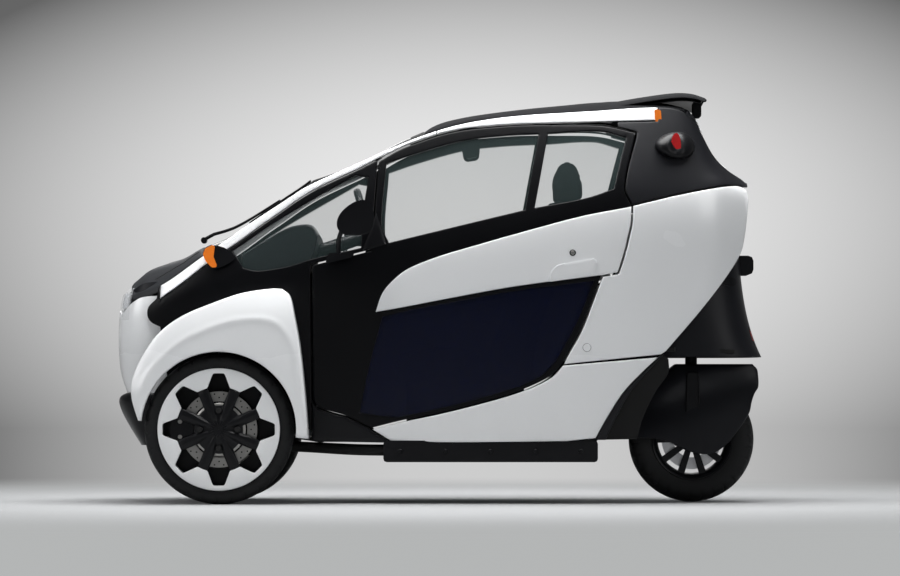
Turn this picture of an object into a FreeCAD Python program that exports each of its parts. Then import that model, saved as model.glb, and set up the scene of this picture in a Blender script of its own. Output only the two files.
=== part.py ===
"""A narrow enclosed electric car on three wheels: two in front, and one behind that steers.

Millimetres. X runs from the nose to the tail, Y to the car's right and Z up, from the floor under the
middle of the car. The near side in the photograph is the left one, at negative Y.
"""
import FreeCAD, Part
import math
import os
from types import SimpleNamespace

os.makedirs("parts", exist_ok=True)
V = FreeCAD.Vector
doc = FreeCAD.newDocument("three_wheeled_car")

# The driving dimensions. Everything else below is worked out from these or is a share of them.
DIMENSIONS = {
    "front_overhang": 389, "wheelbase": 1700, "rear_overhang": 256,
    "overall_height": 1490, "deck_height": 507, "fender_half": 425,
    "front_zone": 330, "rear_zone": 330,
    "side_half": 390, "wall": 42, "skin": 7, "glass": 5, "panel_gap": 5, "door_gap": 7, "seat_gap": 0.3,
    "overrun": 60,
    "front_track_half": 350, "front_tyre_radius": 266, "front_tyre_width": 80, "front_rim_radius": 217,
    "rear_tyre_radius": 228, "rear_tyre_width": 118, "rear_rim_radius": 141,
    "rim_wall": 6, "axle_radius": 14, "bearing_gap": 0.05,
    "fender_wall": 5, "arch_gap": 9, "fender_inner": 300,
    "steer_shaft_radius": 22, "steer_bay_radius": 268, "swing_gap": 14,
    "rail_width": 56, "rail_height": 65, "floor_wall": 14,
    "seat_half": 185, "tube": 26,
    "spoiler_wall": 16, "lip_width": 52,
    "hand_wheel_radius": 165, "hand_wheel_grip": 14,
}
sheet = doc.addObject("Spreadsheet::Sheet", "dimensions")
for row, (name, value) in enumerate(DIMENSIONS.items(), 1):
    sheet.set(f"A{row}", name)
    sheet.set(f"B{row}", str(value))
    sheet.setAlias(f"B{row}", name)
doc.recompute()
d = SimpleNamespace(**{name: float(sheet.get(name)) for name in DIMENSIONS})

length = d.front_overhang + d.wheelbase + d.rear_overhang
front_axle = d.front_overhang - length / 2
rear_axle = front_axle + d.wheelbase
MARKS = [-length / 2, front_axle, front_axle + d.front_zone, rear_axle - d.rear_zone, rear_axle, length / 2]


def along(share):
    """X at a share of the length: -1 nose, 0 front axle, 1 behind the front wheels, 2 ahead of the rear
    wheel, 3 rear axle, 4 tail."""
    zone = min(max(math.floor(share), -1), 3)
    low, high = MARKS[zone + 1], MARKS[zone + 2]
    return low + (share - zone) * (high - low)


def up(share):
    """Z at a share of the height: 0 floor, 1 rear deck, 2 roof."""
    if share <= 1:
        return share * d.deck_height
    return d.deck_height + (share - 1) * (d.overall_height - d.deck_height)


def smooth(pairs, at):
    """The value at one place of a smooth line through (place, value) pairs."""
    last = len(pairs) - 1
    near = max([k for k in range(last) if pairs[k][0] <= at] or [0])
    slopes = []
    for k in (near, near + 1):
        before, after = pairs[max(k - 1, 0)], pairs[min(k + 1, last)]
        slopes.append((after[1] - before[1]) / (after[0] - before[0]))
    (x0, y0), (x1, y1) = pairs[near], pairs[near + 1]
    step = x1 - x0
    part = min(max((at - x0) / step, 0), 1)
    fall = 1 - part
    return (
        y0 * fall * fall * (1 + 2 * part)
        + y1 * part * part * (3 - 2 * part)
        + step * part * fall * (slopes[0] * fall - slopes[1] * part)
    )


# The side of the body, front to back: the share along, and then the (height, half width) shares of six
# lines that run the whole length: sill, low, widest, belt, middle of the glass and roof rail.
BODY_SHARES = [
    (-0.814, (0.651, 0.385), (0.947, 0.526), (1.115, 0.577), (1.186, 0.569), (1.217, 0.544), (1.242, 0.508)),
    (-0.557, (0.592, 0.474), (0.947, 0.615), (1.156, 0.672), (1.227, 0.672), (1.252, 0.646), (1.275, 0.615)),
    (-0.158, (0.572, 0.551), (0.986, 0.679), (1.217, 0.749), (1.288, 0.744), (1.337, 0.713), (1.389, 0.662)),
    (0.205, (0.562, 0.590), (0.986, 0.705), (1.237, 0.782), (1.320, 0.777), (1.388, 0.744), (1.480, 0.682)),
    (0.638, (0.536, 0.636), (0.986, 0.726), (1.247, 0.805), (1.318, 0.808), (1.446, 0.774), (1.575, 0.697)),
    (0.962, (0.493, 0.687), (0.986, 0.749), (1.268, 0.826), (1.355, 0.831), (1.502, 0.785), (1.650, 0.705)),
    (1.161, (0.438, 0.764), (0.986, 0.815), (1.298, 0.887), (1.397, 0.882), (1.573, 0.815), (1.722, 0.703)),
    (1.340, (0.434, 0.800), (0.986, 0.859), (1.329, 0.944), (1.444, 0.923), (1.644, 0.833), (1.815, 0.687)),
    (1.532, (0.434, 0.821), (0.986, 0.885), (1.369, 0.979), (1.493, 0.949), (1.695, 0.838), (1.877, 0.672)),
    (1.713, (0.438, 0.826), (1.013, 0.897), (1.410, 0.997), (1.539, 0.964), (1.725, 0.833), (1.898, 0.656)),
    (1.869, (0.442, 0.821), (1.034, 0.897), (1.440, 1.000), (1.579, 0.964), (1.751, 0.821), (1.909, 0.641)),
    (2.041, (0.473, 0.808), (1.064, 0.887), (1.466, 0.990), (1.615, 0.954), (1.776, 0.800), (1.918, 0.626)),
    (2.392, (0.592, 0.782), (1.095, 0.867), (1.491, 0.969), (1.624, 0.933), (1.786, 0.777), (1.927, 0.610)),
    (2.829, (0.789, 0.731), (1.145, 0.821), (1.512, 0.918), (1.634, 0.879), (1.791, 0.726), (1.925, 0.579)),
    (2.995, (0.828, 0.708), (1.156, 0.797), (1.520, 0.892), (1.637, 0.849), (1.768, 0.697), (1.893, 0.554)),
    (3.170, (0.864, 0.682), (1.166, 0.774), (1.527, 0.864), (1.641, 0.821), (1.715, 0.697), (1.784, 0.554)),
    (3.326, (0.888, 0.654), (1.176, 0.744), (1.532, 0.826), (1.644, 0.785), (1.687, 0.687), (1.727, 0.544)),
    (3.736, (0.986, 0.487), (1.217, 0.577), (1.542, 0.641), (1.613, 0.610), (1.636, 0.551), (1.654, 0.462)),
]
# The middle of the car from above the nose, over the hood, screen, roof and rear window: along and height.
CROWN_SHARES = [
    (-0.952, 1.257), (-0.803, 1.309), (-0.701, 1.341), (-0.521, 1.368), (-0.364, 1.388), (-0.202, 1.424),
    (0.205, 1.492), (0.638, 1.590), (1.023, 1.681), (1.161, 1.742), (1.299, 1.815), (1.378, 1.852),
    (1.436, 1.883), (1.506, 1.902), (1.576, 1.915), (1.717, 1.935), (1.857, 1.950), (1.999, 1.963),
    (2.344, 1.967), (2.592, 1.963), (2.829, 1.947), (2.950, 1.929), (3.006, 1.892), (3.088, 1.844),
    (3.182, 1.785), (3.322, 1.736), (3.619, 1.693), (3.736, 1.664),
]
RAIL = 5


def rail_at(share):
    """Height and half width of the roof rail at a share along."""
    high = smooth([(row[0], row[1 + RAIL][0]) for row in BODY_SHARES], share)
    wide = smooth([(row[0], row[1 + RAIL][1]) for row in BODY_SHARES], share)
    return up(high), wide * d.side_half


def side_point(share, level):
    """Height and half width on the side of the body, at a share along and a level between its lines."""
    lines = range(6)
    highs = [(line, smooth([(row[0], row[1 + line][0]) for row in BODY_SHARES], share)) for line in lines]
    wides = [(line, smooth([(row[0], row[1 + line][1]) for row in BODY_SHARES], share)) for line in lines]
    return up(smooth(highs, level)), smooth(wides, level) * d.side_half


def width_at(share, height):
    """Half width of the body at a share along and a height."""
    low, high = 0, RAIL
    for _ in range(30):
        level = (low + high) / 2
        if side_point(share, level)[0] < height:
            low = level
        else:
            high = level
    return side_point(share, high)[1]


def steps(low, high, count):
    """Evenly spaced values from low to high."""
    return [low + (high - low) * k / count for k in range(count + 1)]


def surface(grid):
    """One smooth face held by a grid of points: a cubic surface in both directions, without ripples."""
    def knots(count):
        inner = count - 3
        return [4] + [1] * (inner - 1) + [4], list(range(inner + 1))
    (turns_u, knots_u), (turns_v, knots_v) = knots(len(grid)), knots(len(grid[0]))
    spline = Part.BSplineSurface()
    spline.buildFromPolesMultsKnots(grid, turns_u, turns_v, knots_u, knots_v, False, False, 3, 3)
    return spline.toShape()


SIDE_COLUMNS, SIDE_ROWS = 26, 8


def side_face(inset):
    """The left side of the body, moved inwards by the inset."""
    grid = []
    for share in steps(BODY_SHARES[0][0], BODY_SHARES[-1][0], SIDE_COLUMNS):
        line = [side_point(share, level) for level in steps(0, RAIL, SIDE_ROWS)]
        grid.append([V(along(share), inset - wide, high) for high, wide in line])
    return surface(grid)


def slab(start, end):
    """The left side of the body between two depths below its outside."""
    return side_face(start).extrude(V(0, end - start, 0))


def wire(runs, place, lift=along, rise=up):
    """A closed outline in the side view. Each run is a smooth curve through its points, or a line."""
    edges = []
    first = last = None
    for run in runs:
        points = [V(lift(a), place, rise(b)) for a, b in run]
        if last is not None and last.distanceToPoint(points[0]) > d.bearing_gap:
            edges.append(Part.LineSegment(last, points[0]).toShape())
        if len(points) == 2:
            edges.append(Part.LineSegment(*points).toShape())
        else:
            curve = Part.BSplineCurve()
            curve.interpolate(points)
            edges.append(curve.toShape())
        first = first or points[0]
        last = points[-1]
    if last.distanceToPoint(first) > d.bearing_gap:
        edges.append(Part.LineSegment(last, first).toShape())
    return Part.Wire(edges)


def prism(runs, low, high):
    """The outline in the side view, filled between two places across the car."""
    return Part.Face(wire(runs, low)).extrude(V(0, high - low, 0))


def cut_out(shares, low, high):
    """A straight-sided outline in the side view, filled between two places across the car."""
    points = [V(along(a), low, up(b)) for a, b in shares]
    return Part.Face(Part.makePolygon(points + points[:1])).extrude(V(0, high - low, 0))


def through(runs):
    """The outline filled over the whole left half."""
    return prism(runs, -d.fender_half - d.overrun, 0)


def mirrored(shape):
    """The same piece on the right side."""
    return shape.mirror(V(0, 0, 0), V(0, 1, 0))


def clean(shape):
    """The shape with its faces joined where they run on."""
    return shape.removeSplitter()


def largest(shape):
    """The largest solid of a shape, without the slivers that a cut leaves."""
    return max(shape.Solids, key=lambda solid: solid.Volume)


def keep(label, shape):
    """Adds a finished piece to the document under its own name."""
    piece = doc.addObject("Part::Feature", label)
    piece.Label = label
    piece.Shape = shape
    return piece


def both(label, shape):
    """Adds a left piece and its mirror image on the right."""
    keep(label + "_left", shape)
    keep(label + "_right", mirrored(shape))


def rod(start, end, radius):
    """A round bar from one point to another."""
    line = end - start
    return Part.makeCylinder(radius, line.Length, start, line)


def block(low, high):
    """A box between two corners."""
    size = high - low
    return Part.makeBox(size.x, size.y, size.z, low)


# Outlines in the side view, as shares along and up.
DOOR_FRONT_SHARES = [(1.001, 0.737), (0.996, 1.349)]
BELT_FRONT_SHARES = [(0.996, 1.349), (1.094, 1.373), (1.203, 1.401)]
PILLAR_SHARES = [(1.203, 1.401), (1.214, 1.537), (1.227, 1.728)]
DOOR_TOP_SHARES = [
    (1.227, 1.728), (1.299, 1.772), (1.368, 1.800), (1.437, 1.824), (1.506, 1.840), (1.575, 1.849),
    (1.712, 1.860), (1.850, 1.861), (2.004, 1.857), (2.341, 1.832),
]
DOOR_BACK_UPPER_SHARES = [(2.341, 1.832), (2.205, 1.628), (2.281, 1.560)]
DOOR_BACK_SHARES = [(2.281, 1.560), (2.275, 1.500), (2.246, 1.456), (2.207, 1.399), (2.136, 1.323)]
WINDOW_BACK_SHARES = [(1.987, 1.312), (1.949, 1.204), (1.917, 1.117), (1.872, 1.031), (1.853, 0.983)]
DOOR_BOTTOM_SHARES = [
    (1.853, 0.983), (1.813, 0.898), (1.711, 0.800), (1.574, 0.716), (1.437, 0.646), (1.300, 0.586),
    (1.203, 0.536),
]
DOOR_TOE_SHARES = [(1.203, 0.536), (1.119, 0.618), (1.020, 0.681), (1.001, 0.737)]
RAIL_LOW_SHARES = [
    (-0.564, 1.231), (-0.379, 1.282), (-0.131, 1.357), (0.204, 1.440), (0.422, 1.494), (0.639, 1.544),
    (0.856, 1.595), (1.023, 1.637), (1.161, 1.706), (1.230, 1.744), (1.299, 1.777), (1.368, 1.804),
    (1.437, 1.828), (1.506, 1.844), (1.575, 1.853), (1.712, 1.866), (1.988, 1.875), (2.397, 1.879),
    (2.571, 1.881),
]
WHITE_TOP_SHARES = [
    (1.216, 1.180), (1.239, 1.247), (1.272, 1.290), (1.325, 1.334), (1.430, 1.379), (1.560, 1.420),
    (1.710, 1.465), (1.915, 1.523), (2.279, 1.559),
]
WHITE_LOW_SHARES = [(2.136, 1.323), (1.986, 1.312), (1.710, 1.274), (1.505, 1.236), (1.301, 1.195), (1.216, 1.180)]
QUARTER_TOP_SHARES = [(2.282, 1.560), (2.809, 1.603), (3.309, 1.632), (3.586, 1.641), (3.684, 1.634)]
QUARTER_BACK_SHARES = [
    (3.719, 1.639), (3.738, 1.590), (3.697, 1.478), (3.635, 1.402), (3.470, 1.328), (3.081, 1.195),
    (2.665, 1.039),
]
SEAM_SHARES = [(2.612, 1.027), (1.854, 0.982)]
SILL_BACK_SHARES = [(2.612, 1.027), (2.370, 0.903), (2.202, 0.785), (2.036, 0.617), (1.966, 0.450)]
MAIN_GLASS_SHARES = [
    [(1.252, 1.721), (1.355, 1.758), (1.517, 1.805), (1.661, 1.823), (1.775, 1.829)],
    [(1.775, 1.829), (1.727, 1.548)],
    [(1.727, 1.548), (1.490, 1.488), (1.262, 1.430)],
    [(1.262, 1.430), (1.237, 1.497), (1.252, 1.721)],
]
REAR_GLASS_SHARES = [
    [(1.808, 1.830), (1.986, 1.839), (2.238, 1.815)],
    [(2.238, 1.815), (2.098, 1.625)],
    [(2.098, 1.625), (1.940, 1.592), (1.760, 1.555)],
    [(1.760, 1.555), (1.808, 1.830)],
]
QUARTER_GLASS_SHARES = [
    [(0.126, 1.405), (0.640, 1.520), (1.145, 1.679)],
    [(1.145, 1.679), (1.191, 1.670)],
    [(1.191, 1.670), (1.176, 1.568), (1.166, 1.412)],
    [(1.166, 1.412), (0.992, 1.372), (0.737, 1.346), (0.537, 1.334)],
    [(0.537, 1.334), (0.386, 1.330), (0.245, 1.341)],
    [(0.245, 1.341), (0.126, 1.405)],
]
LOWER_GLASS_SHARES = [
    [(1.240, 1.162), (1.301, 1.180), (1.505, 1.221), (1.710, 1.258), (1.962, 1.292)],
    [(1.962, 1.292), (1.930, 1.204), (1.893, 1.117), (1.848, 1.031), (1.826, 0.985)],
    [(1.826, 0.985), (1.780, 0.898), (1.690, 0.815), (1.574, 0.744), (1.437, 0.672), (1.290, 0.608)],
    [(1.290, 0.608), (1.160, 0.640)],
    [(1.160, 0.640), (1.196, 0.989), (1.240, 1.162)],
]


def moved(shares, x=0.0, z=0.0):
    """A run of an outline, moved by lengths, as lengths."""
    return [(along(a) + x, up(b) + z) for a, b in shares]


def as_is(value):
    """Leaves a length as it is, for outlines that hold lengths."""
    return value


def prism_mm(runs, low, high):
    """The outline of lengths, filled between two places across the car."""
    return Part.Face(wire(runs, low, as_is, as_is)).extrude(V(0, high - low, 0))


def through_mm(runs):
    """The outline of lengths, filled over the whole left half."""
    return prism_mm(runs, -d.fender_half - d.overrun, 0)


wall_slab = slab(0, d.wall)
skin_slab = slab(0, d.skin)
glass_slab = slab(d.skin, d.skin + d.glass)
gap = d.panel_gap


def bounded(runs):
    """The wall of the left side within an outline of shares."""
    return wall_slab.common(through(runs))


def over(run, shift=0.0):
    """All that lies above a run of the outline, moved up by a length."""
    points = moved(run, z=shift)
    head = d.overall_height + d.overrun
    (x0, z0), (x1, z1) = points[0], points[-1]
    sides = [[(x1, z1), (x1 + d.overrun, z1)], [(x1 + d.overrun, z1), (x1 + d.overrun, head)],
             [(x1 + d.overrun, head), (x0 - d.overrun, head)], [(x0 - d.overrun, head), (x0 - d.overrun, z0)]]
    return through_mm([points] + sides)


door_runs = [
    DOOR_FRONT_SHARES, BELT_FRONT_SHARES, PILLAR_SHARES, DOOR_TOP_SHARES, DOOR_BACK_UPPER_SHARES,
    DOOR_BACK_SHARES, [(2.136, 1.323), (1.987, 1.312)], WINDOW_BACK_SHARES, DOOR_BOTTOM_SHARES, DOOR_TOE_SHARES,
]
door_outline = Part.Face(wire(door_runs, -d.fender_half - d.overrun)).makeOffset2D(d.door_gap)
hole_edges = []
for edge in door_outline.OuterWire.OrderedEdges:
    line = Part.BSplineCurve()
    line.interpolate(edge.discretize(12))
    hole_edges.append(line.toShape())
door_hole = Part.Face(Part.Wire(Part.__sortEdges__(hole_edges))).extrude(V(0, d.fender_half, 0))

# White roof rail: from its tip above the nose, along the screen as its pillar, to the lamp at its end.
rail_end = [(2.571, 1.881), (2.590, 2.050)]
rail_runs = [RAIL_LOW_SHARES, rail_end, [(2.590, 2.050), (-0.564, 2.050)]]
rail_shape = clean(bounded(rail_runs).cut(door_hole))
both("roof_rail", rail_shape)
under_rail = through_mm([
    moved(RAIL_LOW_SHARES, z=-gap), [(along(2.571) + gap, up(1.881) - gap), (along(2.590) + gap, up(2.050))],
    [(along(2.590) + gap, up(2.050)), (along(-0.564), up(2.050))],
])

# Front side panel: black, with the small front window in it.
SIDE_TIP_SHARES = [(-0.562, 1.128), (-0.640, 1.143), (-0.680, 1.165), (-0.675, 1.199), (-0.594, 1.232)]
quarter_hole = through(QUARTER_GLASS_SHARES)
front_side = bounded([
    SIDE_TIP_SHARES, [(-0.594, 1.232), (-0.540, 1.400)], [(-0.540, 1.400), (1.300, 1.900)],
    [(1.300, 1.900), (1.300, 0.800)], [(1.300, 0.800), (0.980, 0.800)], [(0.980, 0.800), (0.980, 0.520)],
    [(0.980, 0.520), (0.500, 0.640)], [(0.500, 0.640), (-0.500, 0.880)], [(-0.500, 0.880), (-0.562, 1.128)],
])
front_side = clean(front_side.cut([under_rail, door_hole, quarter_hole]))
both("front_side", front_side)
quarter_glass = clean(glass_slab.common(quarter_hole).cut(under_rail))
keep("quarter_glass", Part.makeCompound([quarter_glass, mirrored(quarter_glass)]))

# Door: one black frame as thick as the wall, with a white panel let into it and two rows of glass.
white = through([WHITE_TOP_SHARES, DOOR_BACK_SHARES, WHITE_LOW_SHARES])
windows = [through(MAIN_GLASS_SHARES), through(REAR_GLASS_SHARES), through(LOWER_GLASS_SHARES)]
door_solid = bounded(door_runs)
door_panel = clean(skin_slab.common(door_solid).common(white))
door_frame = clean(door_solid.cut([skin_slab.common(white)] + windows))
both("door_frame", door_frame)
both("door_panel", door_panel)
both("door_glass", Part.makeCompound([clean(glass_slab.common(hole)) for hole in windows]))

# White sill panel, from the tip under the door to the wheel bay.
sill = bounded([
    SEAM_SHARES, [(1.854, 0.982), (1.700, 0.980)], [(1.700, 0.980), (1.204, 0.600)],
    [(1.204, 0.600), (1.203, 0.525)], [(1.203, 0.525), (1.240, 0.480), (1.300, 0.400)],
    [(1.300, 0.400), (1.950, 0.400)], [(1.950, 0.400), (1.966, 0.450)], SILL_BACK_SHARES[::-1],
])
sill = clean(sill.cut([door_hole, over(SEAM_SHARES[::-1], -gap)]))
both("sill_panel", sill)

# White quarter panel, from the door back round the corner of the body.
quarter = bounded([
    QUARTER_TOP_SHARES, [(3.684, 1.634), (3.719, 1.625)], QUARTER_BACK_SHARES[1:],
    [(2.665, 1.039), (2.612, 1.027)], SEAM_SHARES, [(1.854, 0.982), (1.700, 0.980)],
    [(1.700, 0.980), (1.700, 1.200)], [(1.700, 1.200), (2.150, 1.540)], [(2.150, 1.540), (2.282, 1.560)],
])
quarter = clean(quarter.cut(door_hole))
both("rear_quarter", quarter)

# Dark shell above the quarter panel, round the rear window.
rear_upper = bounded([
    [(2.150, 1.555), (2.282, 1.566)], [(a, b + 0.006) for a, b in QUARTER_TOP_SHARES],
    [(3.684, 1.640), (3.900, 1.640)], [(3.900, 1.640), (3.900, 2.050)], [(3.900, 2.050), (2.150, 2.050)],
])
rear_upper = clean(rear_upper.cut([under_rail, door_hole]))
both("rear_upper", rear_upper)


def top_point(share, across, edge, lift=0.0):
    """A point on top of the car between its rails less an edge; across runs from -1 on the left to 1."""
    rail_high, rail_wide = rail_at(share)
    crown = up(smooth(CROWN_SHARES, share))
    high = crown - (crown - rail_high) * abs(across) ** 2.4 + lift
    return V(along(share), across * (rail_wide - edge), high)


def top_face(shares, edge):
    """The face on top of the car at the given shares along."""
    return surface([[top_point(share, k / 3, edge) for k in range(-3, 4)] for share in shares])


inset = d.wall + d.panel_gap / 5


def pair(*pieces):
    """The left pieces with their mirror images, to cut a middle piece by."""
    return [shape for piece in pieces for shape in (piece, mirrored(piece))]



hood = top_face(steps(-0.803, -0.190, 5), inset).extrude(V(0, 0, -d.skin * 2))
keep("hood", hood)
windscreen = top_face(steps(-0.176, 1.372, 8), inset).extrude(V(0, 0, -d.glass * 2))
keep("windscreen", windscreen)
roof = top_face(steps(1.380, 2.900, 8), inset).extrude(V(0, 0, -d.wall / 2))
keep("roof_panel", roof)
rear_window_face = top_face([2.960, 3.006, 3.088, 3.182, 3.322, 3.480, 3.619, 3.700], inset)
rear_window = rear_window_face.extrude(V(-d.glass, 0, -d.glass))
keep("rear_window", rear_window)


BOW_SHARES = [(0, 1), (0.42, 1.02), (0.82, 0.90), (1, 0.50), (1, 0)]


def bow(reach, half, back, height):
    """The poles of a level bow, round the end at reach, with both its ends at back."""
    near = [V(back + (reach - back) * a, -half * b, height) for a, b in BOW_SHARES]
    return near + [V(point.x, -point.y, height) for point in near[-2::-1]]


def between(grid, other):
    """The solid between two smooth faces held by grids of the same size."""
    near, far = surface(grid), surface(other)
    sides = [Part.makeRuledSurface(a, b) for a, b in zip(near.Edges, far.Edges)]
    shell = Part.makeShell([near, far] + sides)
    shell.sewShape()
    solid = Part.makeSolid(shell)
    if solid.Volume < 0:
        solid.reverse()
    return solid


def bows(levels, back, wall):
    """A cover through bows at levels of (height share, share along, half width share); filled without a wall."""
    turn = math.copysign(1, along(back) - along(levels[0][1]))
    outer = [bow(along(a), w * d.side_half, along(back), up(v)) for v, a, w in levels]
    if wall:
        inner = [bow(along(a) + turn * wall, w * d.side_half - wall, along(back), up(v)) for v, a, w in levels]
    else:
        inner = [[V(along(back) + turn * d.wall, point.y, point.z) for point in line] for line in outer]
    return between(outer, inner)


def loft_box(low, high, half, end_half):
    """A box between two (along, up) corners that narrows across the car towards its far end."""
    (near, under), (far, over_top) = low, high
    frames = []
    for share, width in ((near, half), (far, end_half)):
        x = along(share)
        corners = [V(x, -width, up(under)), V(x, width, up(under)), V(x, width, up(over_top)), V(x, -width, up(over_top))]
        frames.append(Part.makePolygon(corners + corners[:1]))
    return Part.makeLoft(frames, True, True)


# White nose: a bow-shaped cover, level by level from the chin to the lamps.
NOSE_LEVEL_SHARES = [
    (0.777, -0.906, 0.505), (0.886, -0.963, 0.545), (1.008, -0.991, 0.580), (1.120, -0.992, 0.600),
    (1.209, -0.977, 0.595), (1.262, -0.940, 0.575),
]
nose = bows(NOSE_LEVEL_SHARES, -0.500, d.skin)
tip_hole = prism_mm([
    moved([(-0.400, 1.128), (-0.562, 1.128), (-0.640, 1.137), (-0.690, 1.165), (-0.685, 1.199), (-0.594, 1.238),
           (-0.400, 1.238)]),
], -d.fender_half, d.fender_half)
LAMP_SHARES = [
    [(-1.100, 1.262), (-0.990, 1.262), (-0.905, 1.300)], [(-0.905, 1.300), (-0.905, 1.155)],
    [(-0.905, 1.155), (-1.100, 1.155)], [(-1.100, 1.155), (-1.100, 1.262)],
]
lamp_low, lamp_high = -0.520 * d.side_half, -0.300 * d.side_half
lamp_hole = prism(LAMP_SHARES, lamp_low, lamp_high)
nose = largest(clean(nose.cut([tip_hole, lamp_hole, mirrored(lamp_hole), hood] + pair(front_side, rail_shape))))
keep("nose_panel", nose)
lamp_inset = gap / 3
LAMP_BODY_SHARES = [
    [(-1.100, 1.172), (-0.915, 1.172)], [(-0.915, 1.172), (-0.915, 1.256)], [(-0.915, 1.256), (-1.100, 1.256)],
]
lamp = largest(bows(NOSE_LEVEL_SHARES, -0.500, 0).common(
    prism(LAMP_BODY_SHARES, lamp_low + lamp_inset, lamp_high - lamp_inset)))
keep("headlamps", Part.makeCompound([lamp, mirrored(lamp)]))

# Dark chin under the nose.
CHIN_LEVEL_SHARES = [(0.410, -0.779, 0.420), (0.572, -0.929, 0.500), (0.691, -1.000, 0.530), (0.772, -0.915, 0.500)]
chin = bows(CHIN_LEVEL_SHARES, -0.560, d.skin)
keep("chin_lip", chin)

# Dark tail cover, closed round the back from the rear deck up to the window.
TAIL_LEVEL_SHARES = [
    (1.020, 3.990, 0.560), (1.120, 3.800, 0.560), (1.324, 3.673, 0.540), (1.480, 3.650, 0.500),
    (1.640, 3.690, 0.430),
]
tail = bows(TAIL_LEVEL_SHARES, 2.640, d.skin)
TAIL_FRONT_SHARES = [(2.500, 1.054), (3.100, 1.270), (3.100, 1.750), (2.500, 1.750)]
tail_front = prism([[TAIL_FRONT_SHARES[k - 1], TAIL_FRONT_SHARES[k]] for k in range(4)],
                   -d.side_half, d.side_half)
plate_lamp = loft_box((3.700, 1.345), (4.000, 1.420), 0.16 * d.side_half, 0.13 * d.side_half)
tail = largest(clean(tail.fuse(plate_lamp).cut([rear_window, tail_front] + pair(quarter, rear_upper))))
keep("tail_cover", tail)

# Spoiler: a thin blade that lies on the back of the roof and stands out behind it.
SPOILER_SHARES = [(2.159, 1.969), (2.420, 1.984), (2.788, 2.000), (2.973, 1.998), (3.192, 1.980)]
spoiler_half = 0.560 * d.side_half
spoiler_grid = [
    [V(along(a), across / 3 * spoiler_half, up(z) - (abs(across) / 3) ** 2.4 * d.tube) for across in range(-3, 4)]
    for a, z in [(a, smooth(SPOILER_SHARES, a)) for a in steps(2.159, 3.192, 6)]
]
spoiler = surface(spoiler_grid).extrude(V(0, 0, -d.spoiler_wall)).cut([roof, rear_window])
keep("spoiler", largest(spoiler))

# Black rail along the sill, with the cover behind the front wheel.
rail_out = -0.805 * d.side_half
sill_rail = block(
    V(along(1.248), rail_out, up(0.434) - d.rail_height), V(along(1.972), rail_out + d.rail_width, up(0.434)),
)
sill_rail = largest(sill_rail.cut(sill))
cover = wall_slab.common(through_mm([
    [(along(1.001) - d.door_gap, up(0.510)), (along(1.001) - d.door_gap, up(0.440))],
    [(along(1.001) - d.door_gap, up(0.440)), (along(1.270), up(0.430))],
    [(along(1.270), up(0.430)), (along(1.230), up(0.480)), (along(1.195), up(0.515))],
    moved([(1.195, 0.515), (1.119, 0.590), (1.030, 0.660)]),
]))
cover = largest(clean(cover.cut([sill, sill_rail])))
strake_low = moved(SILL_BACK_SHARES, gap / 2)
strake_high = moved(SILL_BACK_SHARES, d.lip_width)
strake = wall_slab.common(through_mm([strake_low, [strake_low[-1], strake_high[-1]], strake_high[::-1]]))
LINER_SHARES = [(2.360, 0.455), (2.420, 0.600), (2.560, 0.790), (2.700, 0.925), (2.700, 1.010)]
liner_edge = moved(LINER_SHARES)
liner = slab(d.wall - d.skin, d.wall).common(through_mm(
    [strake_low, [strake_low[-1], liner_edge[0]]] + [liner_edge[k:k + 2] for k in range(4)]
    + [[liner_edge[-1], strake_low[0]]]))
strake = largest(clean(strake.fuse(liner).cut([sill, quarter, sill_rail])))
both("sill_rail", Part.makeCompound([sill_rail, cover, strake]))

# Floor: a flat sheet between the sills, with the toe board and the bulkhead in front of it.
floor_low, floor_top = up(0.434), up(0.434) + d.floor_wall
floor_ends = steps(1.001, 1.950, 6)
plan = [V(along(a), side * (width_at(a, floor_low + d.seat_gap) - d.wall - d.seat_gap), floor_low)
        for side, ends in ((-1, floor_ends), (1, floor_ends[::-1])) for a in ends]
floor_plan = Part.makePolygon(plan + plan[:1])
toe_half = 0.45 * d.side_half
TOE_SHARES = [(0.205, 1.400), (0.215, 0.900), (0.560, 0.520), (1.030, 0.434)]
toe = moved(TOE_SHARES)
toe_top = [(x + d.floor_wall, z + d.floor_wall) for x, z in toe]
toe_board = prism_mm([toe[k:k + 2] for k in range(3)] + [toe_top[::-1][k:k + 2] for k in range(3)], -toe_half, toe_half)
floor = Part.Face(floor_plan).extrude(V(0, 0, d.floor_wall)).fuse(toe_board)
floor = largest(clean(floor.cut(pair(sill, sill_rail, cover))))
keep("floor_pan", floor)

# Bay over the rear wheel: a sheet that rises behind the floor, with the steering head let into its deck.
inner = side_face(d.wall + d.seat_gap).extrude(V(0, 3 * d.side_half, 0))
body_inside = inner.common(mirrored(inner))
BAY_SHARES = [(1.964, 0.438), (2.200, 0.760), (2.420, 0.980), (2.560, 1.045), (3.560, 1.045)]
bay_low = moved(BAY_SHARES)
bay_top = [(x - d.floor_wall, z + d.floor_wall) for x, z in bay_low]
bay = prism_mm([bay_low[k:k + 2] for k in range(4)] + [bay_top[::-1][k:k + 2] for k in range(4)],
               -d.fender_half, d.fender_half).common(body_inside)
beside = block(V(along(2.780), -d.fender_half, 0), V(along(3.900), -0.535 * d.side_half, d.overall_height))
bay = bay.cut(beside).cut(mirrored(beside))
crown_z = 2 * d.rear_tyre_radius + d.swing_gap / 2
bay_under = up(1.045)
shaft_top = bay_under + 4 * d.tube
head = Part.makeCylinder(d.steer_shaft_radius * 2, shaft_top - bay_under, V(rear_axle, 0, bay_under))
head_bore = Part.makeCylinder(d.steer_shaft_radius + d.bearing_gap, d.overall_height, V(rear_axle, 0, crown_z))
bay = largest(bay.cut(pair(strake) + [tail]))
bay = clean(bay.fuse(head).cut(head_bore))
keep("wheel_bay", bay)

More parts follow.
